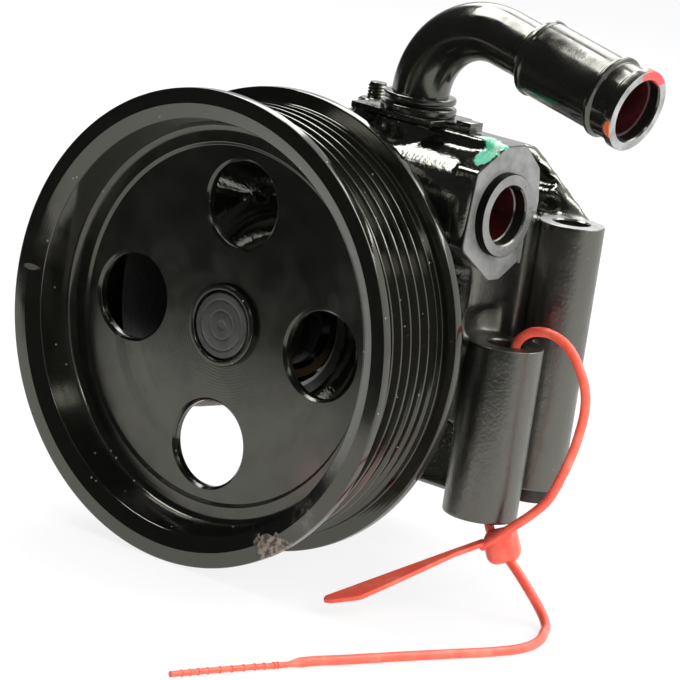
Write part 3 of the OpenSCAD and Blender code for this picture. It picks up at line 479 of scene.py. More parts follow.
def make_pulley_paint(colours):
    """Gloss black with dust, lathe rings round the hub, a scraped chip and a scuffed rim."""
    paint = Finish("pulley_gloss_black", gloss=1.8, sheen=WARM)
    base = paint.blend(paint.noise(45, 3), plain(colours.paint), (0.0053, 0.0053, 0.0042))
    dust = paint.specks(420, 0.28, 0.13)
    base = paint.stain(base, dust, plain(colours.dust), 0.75)
    chip = paint.patch(spot(34, 1, -46), (5.4, 4.5, 3.2), 1.1, 480, (0, 0.6, 0), soft=0.12)
    grit = paint.ramp(paint.noise(700, 5), 0.4, 0.62)
    base = paint.stain(base, chip, paint.blend(grit, plain(colours.chip), (0.04, 0.022, 0.014)))
    scuff = paint.patch(spot(43, 4, -36.5), (6, 4, 7), 0.8, 300)
    base = paint.stain(base, scuff, (0.2, 0.19, 0.18), 0.3)
    blush = paint.patch(spot(43, 15, -35), (15, 13, 15), 0.5, 120, soft=0.5)
    lines = paint.ramp(paint.noise(90, 2, place=paint.shifted(SHAFT, (0.2, 14, 0.2))), 0.52, 0.66)
    base = paint.stain(base, paint.maths("MULTIPLY", blush, lines), (0.09, 0.022, 0.02))
    rust = paint.patch(spot(0, 14, -20), (9, 1.5, 2.2), 0.4, 500, soft=0.4)
    base = paint.stain(base, rust, (0.09, 0.045, 0.025), 0.7)
    scratch = paint.patch(spot(-54.2, 0, 2.5), (2.2, 3, 0.7), 0.7, 900, (0, 0.5, 0), soft=0.2)
    paint.set("Base Color", paint.stain(base, scratch, (0.22, 0.2, 0.17), 0.35))
    outward = paint.far(paint.shifted(SHAFT, (1, 0, 1)))
    satin = paint.ramp(outward, 49 * MM, 51 * MM, 0.07, 0)
    rough = paint.maths("ADD", paint.uneven(130, 5, 0.08, 0.18, 0.75), satin)
    rough = paint.maths("ADD", rough, paint.maths("MULTIPLY", chip, 0.5), clamp=True)
    paint.set("Roughness", paint.maths("ADD", rough, paint.maths("MULTIPLY", dust, 0.3), clamp=True))
    orange = paint.bump(paint.noise(260, 3), 0.12, 0.08)
    turned = paint.bump(paint.rings(SHAFT, "Y", 420), 0.1, 0.03, orange)
    paint.set("Normal", paint.bump(chip, 0.6, -0.25, turned))
    return paint.material


def make_body_paint(colours):
    """Wet black paint over a sandy casting, satin on the bosses, with a green marker stroke by the port."""
    paint = Finish("casting_wet_black", gloss=2.2, sheen=WARM)
    base = paint.blend(paint.noise(60), plain(colours.paint), (0.01, 0.0098, 0.0096))
    base = paint.stain(base, paint.specks(380, 0.2, 0.08), plain(colours.dust), 0.5)
    across = paint.patch(spot(46.6, 48, 54), (4.6, 2.2, 2.2), 0.8, 330, soft=0.1)
    down = paint.patch(spot(47.4, 44, 51.4), (2.5, 4.6, 3.4), 0.75, 400, soft=0.1)
    stroke = paint.maths("MAXIMUM", across, down)
    brushed = paint.noise(160, place=paint.shifted(spot(44, 40, 50), (1, 1, 6), (0, 0.5, 0)))
    green = paint.blend(paint.ramp(brushed, 0.35, 0.7), plain(colours.marker), (0.015, 0.36, 0.19))
    paint.set("Base Color", paint.stain(base, stroke, green))
    axes = paint.node("SeparateXYZ", {0: paint.place})
    outward = paint.ramp(axes["X"], SHAFT_X + 44 * MM, SHAFT_X + 48.5 * MM)
    satin = paint.maths("MULTIPLY", outward, paint.ramp(axes["Z"], 33 * MM, 39 * MM, 0.22, 0))
    soft = paint.maths("MAXIMUM", satin, paint.maths("MULTIPLY", stroke, 0.2))
    paint.set("Roughness", paint.maths("ADD", paint.uneven(240, 5, 0.06, 0.17, 0.72), soft, clamp=True))
    sandy = paint.bump(paint.noise(1100, 2, 0.5), 1, 0.075)
    paint.set("Normal", paint.bump(paint.noise(120, 2), 0.3, 0.4, sandy))
    return paint.material


def make_pipe_paint(colours):
    """Dark gloss paint with soft runs, a red rim mark and an orange smear."""
    paint = Finish("pipe_gloss_black", gloss=1.9, sheen=WARM)
    base = paint.blend(paint.noise(70), plain(colours.paint), (0.009, 0.0088, 0.0085))
    base = paint.stain(base, paint.specks(400, 0.14, 0.07), plain(colours.dust), 0.5)
    rim = paint.patch(RIM_MARK, (2, 6, 2.4), 0.4, 350, soft=0.15)
    base = paint.stain(base, rim, (0.5, 0.035, 0.03))
    smear = paint.patch(spot(82.8, 41.2, 66.4), (1.5, 1.6, 2.6), 0.5, 420, soft=0.2)
    paint.set("Base Color", paint.stain(base, smear, (0.62, 0.13, 0.04)))
    paint.set("Roughness", paint.uneven(150, 5, 0.1, 0.27, 0.72))
    runs = paint.bump(paint.noise(75, 2, place=paint.shifted(SHAFT, (1, 1, 0.35))), 0.3, 0.5)
    paint.set("Normal", paint.bump(paint.noise(420), 0.18, 0.15, runs))
    return paint.material


def make_machined(colours):
    """Milled grey face under a thin coat, with cutter lines, stains and small pits."""
    face = Finish("machined_grey", gloss=1.6, metal=0.25)
    film = face.ramp(face.noise(140, 5, 0.6), 0.32, 0.66)
    base = face.blend(film, plain(colours.machined, 0.6), plain(colours.machined))
    pits = face.specks(300, 0.12, 0.09)
    face.set("Base Color", face.stain(base, pits, (0.02, 0.02, 0.02)))
    lines = face.noise(55, 2, place=face.shifted(SHAFT, (1, 30, 3)))
    face.set("Roughness", face.uneven(210, 4, 0.3, 0.5))
    face.set("Normal", face.bump(lines, 0.16, 0.08, face.bump(pits, 0.5, -0.2)))
    return face.material


def make_rim(colours):
    """Bare end of the pipe, with a red stroke of marker along its top."""
    rim = Finish("pipe_rim_bare", gloss=1.6, metal=0.2)
    worn = rim.ramp(rim.noise(260, 5, 0.6), 0.32, 0.68)
    base = rim.blend(worn, plain(colours.machined, 0.75), plain(colours.machined, 1.35))
    stroke = rim.patch(RIM_MARK, (2.4, 6, 2.4), 0.4, 350, soft=0.15)
    rim.set("Base Color", rim.stain(base, stroke, (0.55, 0.06, 0.06)))
    rim.set("Roughness", rim.uneven(210, 4, 0.3, 0.5))
    rim.set("Normal", rim.bump(rim.noise(500), 0.2, 0.1))
    return rim.material


def make_turned_steel(name, colour, centre, axis, dark, metal):
    """Turned metal with fine rings about an axis and a cloudy film."""
    steel = Finish(name, gloss=1.6, metal=metal)
    film = steel.ramp(steel.noise(120, 5, 0.6), 0.3, 0.7)
    steel.set("Base Color", steel.blend(film, plain(colour, dark), plain(colour)))
    steel.set("Roughness", steel.uneven(260, 4, 0.26, 0.44))
    steel.set("Normal", steel.bump(steel.rings(centre, axis, 700), 0.16, 0.04))
    return steel.material


def make_coat(name, gloss, low, high, film, rough, grain):
    """Two colours mixed by a film of noise, with uneven gloss and a fine grain."""
    coat = Finish(name, gloss=gloss)
    scale, detail, start, end = film
    coat.set("Base Color", coat.blend(coat.ramp(coat.noise(scale, detail), start, end), low, high))
    coat.set("Roughness", coat.uneven(*rough))
    noise, strength, depth = grain
    coat.set("Normal", coat.bump(coat.noise(*noise), strength, depth))
    return coat


# Operators

KEPT_SOLIDS = {
    "ground": [
        "bearing_inner_race", "bearing_outer_race", "bearing_balls", "front_plate", "cam_ring",
        "rotor", "vanes", "pressure_plate", "dowel_pins",
    ],
    "bronze": ["bearing_cage", "shaft_bush"],
    "rubber": ["shaft_seal", "cover_o_ring", "fitting_o_ring", "plug_o_ring", "pipe_o_ring"],
    "shaft": ["bearing_snap_ring", "rotor_snap_ring", "plate_spring"],
    "spool": ["flow_spool"],
}


class PUMP_OT_finishes(bpy.types.Operator):
    """Make the materials and put them on the solids that stay as they are"""

    bl_idname = "pump.finishes"
    bl_label = "Finishes"

    def execute(self, context):
        colours = context.scene.pump_colours
        rubber = make_coat(
            "seal_rubber", 1.5, plain(colours.rubber), (0.035, 0.035, 0.035),
            film=(300, 4, 0.4, 0.75), rough=(500, 3, 0.55, 0.75), grain=((1400, 3), 0.15, 0.05),
        )
        # Painted shade: a near-black, weakly glossy finish that darkens faces behind the pulley and round the
        # fitting's collar, where shade falls.
        dull = make_coat(
            "casting_dull_black", 1.18, (0.002, 0.002, 0.0017), (0.005, 0.005, 0.004),
            film=(160, 5, 0.3, 0.75), rough=(300, 4, 0.4, 0.6), grain=((800, 6, 0.66), 0.6, 0.3),
        )
        # Red inside the port and the mouth of the pipe, darkened as painted shade of the deep bores.
        primer = make_coat(
            "inside_red_painted_shade", 1.5, plain(colours.primer, 0.35), plain(colours.primer),
            film=(180, 5, 0.35, 0.7), rough=(320, 4, 0.25, 0.5), grain=((600, 4), 0.25, 0.15),
        )
        tie = make_coat(
            "tie_red_plastic", 1.46, plain(colours.tie), (0.92, 0.22, 0.15),
            film=(170, 5, 0.45, 0.8), rough=(400, 4, 0.32, 0.48), grain=((320, 3), 0.12, 0.12),
        )
        tie.set("Subsurface Weight", 0.25)
        tie.set("Subsurface Radius", (0.0016, 0.0004, 0.0003))
        FINISHES.update(
            pulley=make_pulley_paint(colours), body=make_body_paint(colours), pipe=make_pipe_paint(colours),
            machined=make_machined(colours), rim=make_rim(colours), rubber=rubber.material, dull=dull.material,
            primer=primer.material, tie=tie.material,
        )
        for key, name, colour, centre, axis, dark, metal in (
            ("shaft", "turned_dark_steel", colours.steel, SHAFT, "Y", 0.45, 0.4),
            ("sleeve", "sleeve_steel", colours.steel, REAR_BOSS, "Z", 0.45, 0.9),
            ("fitting", "fitting_grey", colours.machined, VALVE, "X", 0.7, 0.5),
            ("ground", "ground_steel", colours.ground, SHAFT, "Y", 0.8, 1.0),
            ("spool", "spool_steel", colours.ground, VALVE, "X", 0.8, 1.0),
            ("bronze", "bearing_bronze", colours.bronze, SHAFT, "Y", 0.7, 1.0),
        ):
            FINISHES[key] = make_turned_steel(name, colour, centre, axis, dark, metal)
        for key, nodes in KEPT_SOLIDS.items():
            for node in nodes:
                CAD[node].data.materials.clear()
                CAD[node].data.materials.append(FINISHES[key])
        return {"FINISHED"}


STRAP_ROUTE = [
    (62.5, 46.2, -43.2), (66.5, 46, -39.7), (70.5, 47.2, -35.7), (74, 49, -31.8), (77, 50, -27.7),
    (79.5, 50, -21.9), (81.7, 50, -15), (82.9, 50, -8.9), (83.3, 50, -3.3), (82.4, 50, 1.5),
    (80, 50, 5.8), (76.3, 50, 9.9), (71.7, 50, 12), (67.4, 50, 12.1), (63.4, 50, 10.6),
    (60.6, 50, 7.2), (60.2, 50, -8), (60.7, 50, -20), (60.6, 50, -31), (60.8, 50, -37.4),
    (62.8, 50, -40.9), (66.3, 50, -43.6), (69.6, 50, -46), (73.4, 50, -49), (77, 50.3, -52.4),
    (80, 50.6, -55.6), (83, 48.6, -57.4), (87.2, 42, -57.4), (90.6, 35, -57.4), (92, 27, -57.4),
    (90.7, 18.6, -57.4), (86.2, 5.2, -57.4), (81.6, -8.2, -57.4), (77.3, -21.6, -57.4), (73, -34.8, -57.4),
    (72.1, -37.8, -57.7), (69, -47.8, -57.8), (65.6, -60.6, -57.8), (63.4, -69.4, -57.8),
]
TAIL_POINTS = 4
TAIL_SHARE = 0.6


class PUMP_OT_tie(bpy.types.Operator):
    """Lay the seal tie: its strap, its lock and its tag"""

    bl_idname = "pump.tie"
    bl_label = "Seal Tie"

    def execute(self, context):
        sizes = context.scene.pump_tie
        route = [spot(*point) for point in STRAP_ROUTE]
        clear_selection()
        bpy.ops.curve.primitive_nurbs_path_add(location=(0, 0, 0))
        strap = context.object
        strap.name = strap.data.name = "tie_strap"
        strap.data.splines.clear()
        line = strap.data.splines.new("BEZIER")
        line.bezier_points.add(len(route) - 1)
        for i, (point, place) in enumerate(zip(line.bezier_points, route)):
            point.co = place
            point.handle_left_type = point.handle_right_type = "AUTO"
            point.radius = TAIL_SHARE if i >= len(route) - TAIL_POINTS else 1
        line.resolution_u = 6
        strap.data.bevel_depth = sizes.strap / 2
        strap.data.bevel_resolution = 4
        strap.data.use_fill_caps = True
        dress(strap, "tie", "housing", "tie_plastic", "seal_strap")
        lock = self.lock()
        tag = self.tag(sizes)
        ribs = self.ribs(route[-TAIL_POINTS:], sizes)
        return {"FINISHED"}

    def ribs(self, tail, sizes):
        """Small grip rings along the thin tail of the strap."""
        thin = sizes.strap / MM * TAIL_SHARE / 2
        along = (tail[-1] - tail[0]).normalized()
        start = tail[0].lerp(tail[1], 0.3)
        first = lathe("tie_ribs", [
            (thin - 0.15, -0.35, 0), (thin + 0.13, -0.15, 0.1), (thin + 0.13, 0.15, 0.1),
            (thin - 0.15, 0.35, 0),
            (thin - 0.15, -0.35, 0),
        ], start, along, 24)
        places = [tail[i].lerp(tail[i + 1], t) for i in range(TAIL_POINTS - 1) for t in (0.15, 0.4, 0.65, 0.9)]
        rings = [first]
        for place in places[1:-1]:
            rings.append(twin_of(first, "tie_rib"))
            open_mesh(rings[-1])
            bpy.ops.transform.translate(value=place - start)
        ribs = join("tie_ribs", rings)
        dress(ribs, "tie", "housing", "tie_plastic")
        return ribs

    def lock(self):
        """Rounded block that the strap comes out of."""
        clear_selection()
        bpy.ops.mesh.primitive_cube_add(size=1, location=(0, 0, 0))
        turn = Matrix.Rotation(math.radians(30.6), 4, "Z") @ Matrix.Rotation(math.radians(-22), 4, "Y")
        size = Matrix.Diagonal((8.6 * MM, 7.4 * MM, 8.4 * MM, 1))
        bpy.context.object.matrix_world = Matrix.Translation(spot(66, 50, -42.4)) @ turn @ size
        block = added("tie_lock")
        ease_edges(block, 2.6, 6, 40)
        bpy.ops.object.shade_smooth()
        dress(block, "tie", "housing", "tie_plastic", "seal_lock")
        return block

    def tag(self, sizes):
        """Flat leaf that narrows into the strap at the lock and slants to the ground."""
        long, wide = sizes.tag / MM, sizes.tag_width / MM
        turn = Matrix.Rotation(math.radians(-111.4), 4, "Z") @ Matrix.Rotation(math.radians(17.5), 4, "Y")
        place = Matrix.Translation(spot(63.3, 46.6, -42.4)) @ turn
        leaf = [
            (0, -1.2, 0.3), (0.2 * long, -1.2, 6), (0.97 * long, -0.1 * wide, 0.8), (long, 0.1 * wide, 0.8),
            (0.97 * long, 0.4 * wide, 2), (0.84 * long, 0.9 * wide, 3), (0.6 * long, 0.66 * wide, 6),
            (0.2 * long, 1.2, 6), (0, 1.2, 0.3),
        ]
        up = place.to_3x3() @ Vector((0, 0, 1.2 * MM))
        tag = plate("tie_tag", leaf, lambda a, b: place @ Vector((a * MM, b * MM, 0)), up, 4)
        ease_edges(tag, 0.35)
        dress(tag, "tie", "housing", "tie_plastic", "seal_tag")
        return tag


HOLES, GROOVES = 4, 6
RIB_FLAT = 0.6
GROOVE_SLANT = math.radians(20)


class PUMP_OT_pulley(bpy.types.Operator):
    """Turn the grooved pulley, cut its holes and turn its hub"""

    bl_idname = "pump.pulley"
    bl_label = "Pulley"

    def execute(self, context):
        sizes = context.scene.pump_pulley
        pulley = lathe("belt_pulley", self.section(sizes), SHAFT, Y_AXIS, 192, 28)
        reach = sizes.hole_circle / MM
        for i in range(HOLES):
            angle = 2 * math.pi / HOLES * i
            centre = spot(reach * math.cos(angle), 0, reach * math.sin(angle))
            combine(pulley, self.cutter(sizes, centre), "DIFFERENCE")
        smooth(pulley, 28)
        dress(pulley, "pulley", "rotating_group", "pulley_paint", "pulley")
        hub = lathe("hub_ring", [
            (8.55, 11.2, 0), (8.9, 10.7, 0.2), (10.0, 10.7, 0.3), (10.28, 11.2, 0.3), (10.28, 15.22, 0),
            (16.5, 15.22, 0.4), (16.5, 18.2, 0.5), (13.3, 19.6, 1.2), (12.5, 30.9, 0.4), (8.55, 30.9, 0),
            (8.55, 11.2, 0),
        ], SHAFT, Y_AXIS, 128)
        dress(hub, "pulley", "rotating_group", "pulley_paint", "pulley_hub")
        shaft = merge_copy("drive_shaft", "turned_shaft")
        combine(shaft, lathe("shaft_face", [
            (0, 14.6, 0), (8.1, 14.6, 0), (8.1, 11.16, 0.2), (7.8, 11.05, 0.1), (6.6, 11.05, 0.2),
            (6.4, 11.25, 0.1),
            (6.1, 11.25, 0.1), (5.9, 11.08, 0.1), (3.9, 11.08, 0.1), (3.7, 11.2, 0.1), (3.4, 11.2, 0.1),
            (3.2, 11.09, 0.1), (1.4, 11.1, 0.1), (0.9, 11.2, 0.1), (0, 11.22, 0),
        ], SHAFT, Y_AXIS), "UNION")
        smooth(shaft)
        dress(shaft, "shaft", "rotating_group", "shaft_steel", "drive_shaft")
        return {"FINISHED"}

    def section(self, sizes):
        rib, floor = sizes.rib / MM, (sizes.rib - sizes.groove) / MM
        pitch, first = sizes.pitch / MM, sizes.first_groove / MM
        top_half = (pitch - RIB_FLAT) / 2
        floor_half = top_half - (rib - floor) * math.tan(GROOVE_SLANT)
        grooves = []
        for i in range(GROOVES):
            middle = first + (i + 0.5) * pitch
            grooves += [
                (rib, middle - top_half, 0.22), (floor, middle - floor_half, 0.3),
                (floor, middle + floor_half, 0.3), (rib, middle + top_half, 0.22),
            ]
        last = first + GROOVES * pitch
        web, back, inner = sizes.web / MM, sizes.web_back / MM, sizes.rim_wall / MM
        flange, rear = sizes.flange / MM, sizes.rear_flange / MM
        width = (PULLEY_BOX[1].y - PULLEY_BOX[0].y) / MM
        hub = sizes.hub / MM
        return [
            (hub, web, 0), (28, web, 3), (31, web + 0.09, 3), (33, web + 0.09, 3), (36, web, 3),
            (44.3, web, 0.3), (45, web - 0.7, 0.4), (49.6, web - 0.7, 2.4), (inner + 1, 1.6, 0.6),
            (sizes.lip / MM, 0, 0.6), (flange, 0, 0.5), (flange, 2.7, 0.5), (rib + 0.4, first - 0.4, 0.5),
            *grooves,
            (rib, last + 1.9, 0.4), (rear, last + 2.2, 0.5), (rear, width, 0.5), (inner, width, 0.5),
            (inner, back + 2, 0), (inner - 0.5, back + 1.8, 1), (inner - 2.5, back, 1), (hub, back, 0),
            (hub, web, 0),
        ]

    def cutter(self, sizes, centre):
        hole, web, back = sizes.hole / MM, sizes.web / MM, sizes.web_back / MM
        return lathe("hole_cutter", [
            (0, web - 4, 0), (hole + 4.75, web - 4, 0), (hole, web + 0.75, 0.5), (hole, back - 0.4, 0.2),
            (hole + 3, back + 2.6, 0), (0, back + 2.6, 0),
        ], centre, Y_AXIS)


# Corners of the port flange and their fillets, counted from the valve axis, backwards and upwards.
FLANGE_OUTLINE = [
    (-13.9, -8.3, 3), (-12.2, 10.7, 2), (-1.3, 16.9, 2), (6.7, 16.9, 2), (13.9, 10.9, 3), (15.7, 2.5, 5),
    (15.3, -3.7, 5), (12, -11.9, 4), (3.5, -16.9, 2), (-1, -16.9, 2),
]


def on_flange(a, b):
    """True inside the flange's outline, which has no hollow side."""
    corners = [Vector(corner[:2]) for corner in FLANGE_OUTLINE]
    here = Vector((a, b))
    return all((end - start).cross(here - start) < 0 for start, end in zip(corners, corners[1:] + corners[:1]))


class PUMP_OT_housing(bpy.types.Operator):
    """Round the casting, then add its turned bosses, valve barrel and milled port flange"""

    bl_idname = "pump.housing"
    bl_label = "Housing"

    def execute(self, context):
        sizes = context.scene.pump_body
        casting = merge_copy("pump_housing", "pump_casting")
        add_modifier(casting, "REMESH", mode="VOXEL", voxel_size=sizes.grain, adaptivity=0)
        add_modifier(casting, "SMOOTH", factor=0.5, iterations=12)
        for crisp in (self.valve_barrel(sizes), self.port_flange(sizes), *self.bosses(sizes)):
            combine(casting, crisp, "UNION", "MANIFOLD")
        for bore in self.bores(sizes):
            combine(casting, bore, "DIFFERENCE", "MANIFOLD")
        smooth(casting, 38)
        dress(casting, "body", "housing", "body_paint", "pump_housing")
        face = SHAFT_X + sizes.port_face
        rear_top = 36 * MM
        axis_y = FRONT_Y + sizes.valve_y
        paint_faces(casting, "machined", lambda middle, normal: (
            normal.x > 0.98 and middle.x > face + 0.03 * MM
            and on_flange((middle.y - axis_y) / MM, (middle.z - sizes.valve_z) / MM)
            or normal.z > 0.98 and abs(middle.z - rear_top) < 0.3 * MM
        ))
        # Painted shade: front-facing faces behind the pulley's left hole take the near-black finish.
        low_corner, high_corner = spot(-66, 34, -28), spot(-38, 47, 10)
        paint_faces(casting, "dull", lambda middle, normal: normal.y < -0.3 and all(
            low < value < high for low, value, high in zip(low_corner, middle, high_corner)
        ))
        return {"FINISHED"}

    def valve_barrel(self, sizes):
        radius = sizes.barrel / MM + 0.05
        return lathe("barrel", [
            (0, -30, 0), (radius - 0.8, -30, 0), (radius, -29.2, 0.5), (radius, 46, 0), (0, 46, 0),
        ], valve_axis(sizes), X_AXIS, 160)

    def port_flange(self, sizes):
        """Milled plate with cut corners that the outlet fitting screws into."""
        y, z = sizes.valve_y / MM, sizes.valve_z / MM
        start = sizes.port_face / MM - 6.5
        thick = Vector((6.55 * MM, 0, 0))
        flange = plate("port_plate", FLANGE_OUTLINE, lambda a, b: spot(start, y + a, z + b), thick, 8)
        ease_edges(flange, 0.35, 2, 40)
        return flange

    def bosses(self, sizes):
        front, rear = sizes.boss / MM + 0.04, sizes.rear_boss / MM + 0.04
        return (
            lathe("front_boss", [
                (0, -36.8, 0), (front, -36.8, 0.9), (front, 6.9, 0.45), (0, 6.9, 0),
            ], front_axis(sizes), Z_AXIS, 128),
            lathe("rear_boss", [
                (0, -31, 0), (rear, -31, 0.8), (rear, 36, 0.45), (0, 36, 0),
            ], rear_axis(sizes), Z_AXIS, 128),
        )

    def bores(self, sizes):
        bore = sizes.bore / MM
        yield lathe("front_bore", [
            (0, -40, 0), (bore + 3.6, -40, 0), (bore, -36.4, 0), (bore, 6.5, 0),
            (bore + 3.4, 9.9, 0), (0, 9.9, 0),
        ], front_axis(sizes), Z_AXIS)
        yield lathe("rear_bore", [
            (0, -40, 0), (6.85, -40, 0), (6.85, -10.3, 0), (bore, -10.3, 0), (bore, 35.6, 0),
            (bore + 3.4, 39, 0),
            (0, 39, 0),
        ], rear_axis(sizes), Z_AXIS)
        yield lathe("valve_bore", [
            (0, 30, 0), (9.24, 30, 0), (9.24, 55, 0), (0, 55, 0),
        ], valve_axis(sizes), X_AXIS)


class PUMP_OT_fitting(bpy.types.Operator):
    """Turn the collared outlet fitting with its tapped port"""

    bl_idname = "pump.fitting"
    bl_label = "Outlet Fitting"

    def execute(self, context):
        centre = valve_axis(context.scene.pump_body)
        corners = [
            (0, 32.1, 0), (8.4, 32.1, 0), (9.2, 32.9, 0.2), (9.2, 50.12, 0), (10.4, 50.12, 0.1),
            (10.4, 52.4, 0.35),
            (7.7, 52.4, 0.15), (7.3, 52, 0.1), (7.3, 49.2, 0.1), (6.95, 48.9, 0.1),
            (6.95, 37.5, 0.3), (0, 37.5, 0),
        ]
        fitting = lathe("outlet_fitting_turned", corners, centre, X_AXIS, 128)
        dress(fitting, "body", "housing", "shaft_steel", "outlet_fitting")
        deep, front = SHAFT_X + 48.9 * MM, SHAFT_X + 52.3 * MM
        # Painted shade: the port's bore takes the darkened red.
        paint_faces(fitting, "primer", lambda middle, normal: (
            middle.x < deep and (middle - centre).yz.length < 7.1 * MM
        ))
        paint_faces(fitting, "fitting", lambda middle, normal: normal.x > 0.9 and middle.x > front)
        # Painted shade: the side of the collar takes the near-black finish.
        paint_faces(fitting, "dull", lambda middle, normal: (
            normal.x < 0.9 and middle.x > deep and (middle - centre).yz.length > 10 * MM
        ))
        return {"FINISHED"}


class PUMP_OT_pipe(bpy.types.Operator):
    """Draw the suction pipe from its foot, round the bend and out to the hose end"""

    bl_idname = "pump.pipe"
    bl_label = "Suction Pipe"

    def execute(self, context):
        sizes = context.scene.pump_pipe
        riser, hose, wall = sizes.riser / MM, sizes.hose_end / MM, sizes.wall / MM
        bead = sizes.bead / MM
        pad, top = 55.3, 61.5
        foot = spot(20.9, VALVE_Y, 0)
        clear_selection()
        bpy.ops.mesh.primitive_circle_add(
            vertices=72, radius=riser * MM, fill_type="NGON", location=foot + Z_AXIS * (48 * MM)
        )
        pipe = added("suction_pipe_bent")
        open_mesh(pipe)
        self.rings(rounded([
            (riser, 48, 0), (riser, pad + 1.45, 0), (riser + 2.3, pad + 1.45, 0.4),
            (riser + 2.3, pad + 3.4, 0.5),
            (riser + 0.1, pad + 3.6, 0.3), (riser + 0.1, pad + 4.2, 0.3), (riser + 1.9, pad + 4.4, 0.4),
            (riser + 1.9, pad + 5.9, 0.5), (riser, pad + 6.1, 0.3), (riser, top, 0),
        ]), foot, Z_AXIS)
        hinge = foot + Vector((sizes.bend, 0, top * MM))
        turn = math.radians(103)
        bpy.ops.mesh.spin(steps=36, angle=-turn, center=hinge, axis=Y_AXIS)
        along = Vector((math.sin(turn), 0, math.cos(turn)))
        start = hinge + Vector((-math.cos(turn), 0, math.sin(turn))) * sizes.bend
        mouth = 41.7
        self.rings(rounded([
            (riser, 0, 0), (riser, 9, 1.2), (hose - 0.4, 10.5, 0.6), (hose + 0.35, 11.1, 0.5),
            (hose + 0.35, 12, 0.5),
            (hose, 12.6, 0.6), (hose, mouth - 9.2, 0.4), (hose + bead, mouth - 8.4, 0.4),
            (hose + bead, mouth - 7.6, 0.4), (hose, mouth - 7, 0.4), (hose, mouth - 3, 0.5),
            (hose + bead, mouth - 2.1, 0.4), (hose + bead, mouth, 0.45), (hose - wall + 0.3, mouth, 0.3),
            (hose - wall, mouth - 0.6, 0.3), (hose - wall, mouth - 3, 0.1),
            (hose - wall - 0.45, mouth - 3.2, 0.1),
            (hose - wall - 0.45, mouth - 28, 2), (riser - wall, mouth - 33, 2),
            (riser - wall, 2, 0),
        ]), start, along)
        bpy.ops.mesh.edge_face_add()
        close_mesh(32)
        dress(pipe, "pipe", "housing", "body_paint", "suction_pipe")
        limit, narrow = (hose - wall + 0.35) * MM, (riser - wall + 0.3) * MM

        def inside(middle, normal):
            reach = (middle - start).dot(along)
            off = (middle - start - along * reach).length
            return 0.003 < reach < (mouth - 3) * MM and off < (limit if reach > 0.014 else narrow)

        # Painted shade: the inside of the hose end takes the darkened red.
        paint_faces(pipe, "primer", inside)
        paint_faces(pipe, "rim", lambda middle, normal: (
            (middle - start).dot(along) > (mouth - 0.3) * MM and normal.dot(along) > 0.8
        ))
        return {"FINISHED"}

    def rings(self, stations, start, along):
        """Pull the selected ring along a line, resizing it at each (radius, station)."""
        radius, station = stations[0]
        for next_radius, next_station in stations[1:]:
            step = along * ((next_station - station) * MM)
            bpy.ops.mesh.extrude_region_move(TRANSFORM_OT_translate={"value": step})
            if next_radius != radius:
                share = next_radius / radius
                middle = start + along * (next_station * MM)
                bpy.ops.transform.resize(value=(share,) * 3, center_override=middle)
            radius, station = next_radius, next_station


class PUMP_OT_clip(bpy.types.Operator):
    """Make the pipe's sheet clip, its threaded stud and its flange nut"""

    bl_idname = "pump.clip"
    bl_label = "Pipe Clip"

    def execute(self, context):
        clip = merge_copy("pipe_retainer", "pipe_clip")
        open_mesh(clip)
        bpy.ops.mesh.dissolve_limited(angle_limit=math.radians(1))
        bpy.ops.object.mode_set(mode="OBJECT")
        ease_edges(clip, 0.3)
        dress(clip, "body", "housing", "body_paint", "pipe_retainer")
        foot = spot(0.3, 59.96, 0)
        thread = [(2.5 if i % 2 else 2.2, 55.6 + 0.4 * i, 0.05) for i in range(9)]
        stud = lathe("clip_stud", [
            (0, 44.3, 0), (2.48, 44.3, 0.2), (2.48, 55.3, 0), *thread, (2, 59.5, 0.2), (0, 59.5, 0),
        ], foot, Z_AXIS, 64)
        dress(stud, "body", "housing", "body_paint", "retainer_stud")
        nut = hex_head("clip_nut", foot, Z_AXIS, 4.6, 51.64, 55.3, flange=(5.9, 1.3), bore=2.52)
        dress(nut, "body", "housing", "body_paint", "retainer_nut")
        return {"FINISHED"}


BOLTS = 4


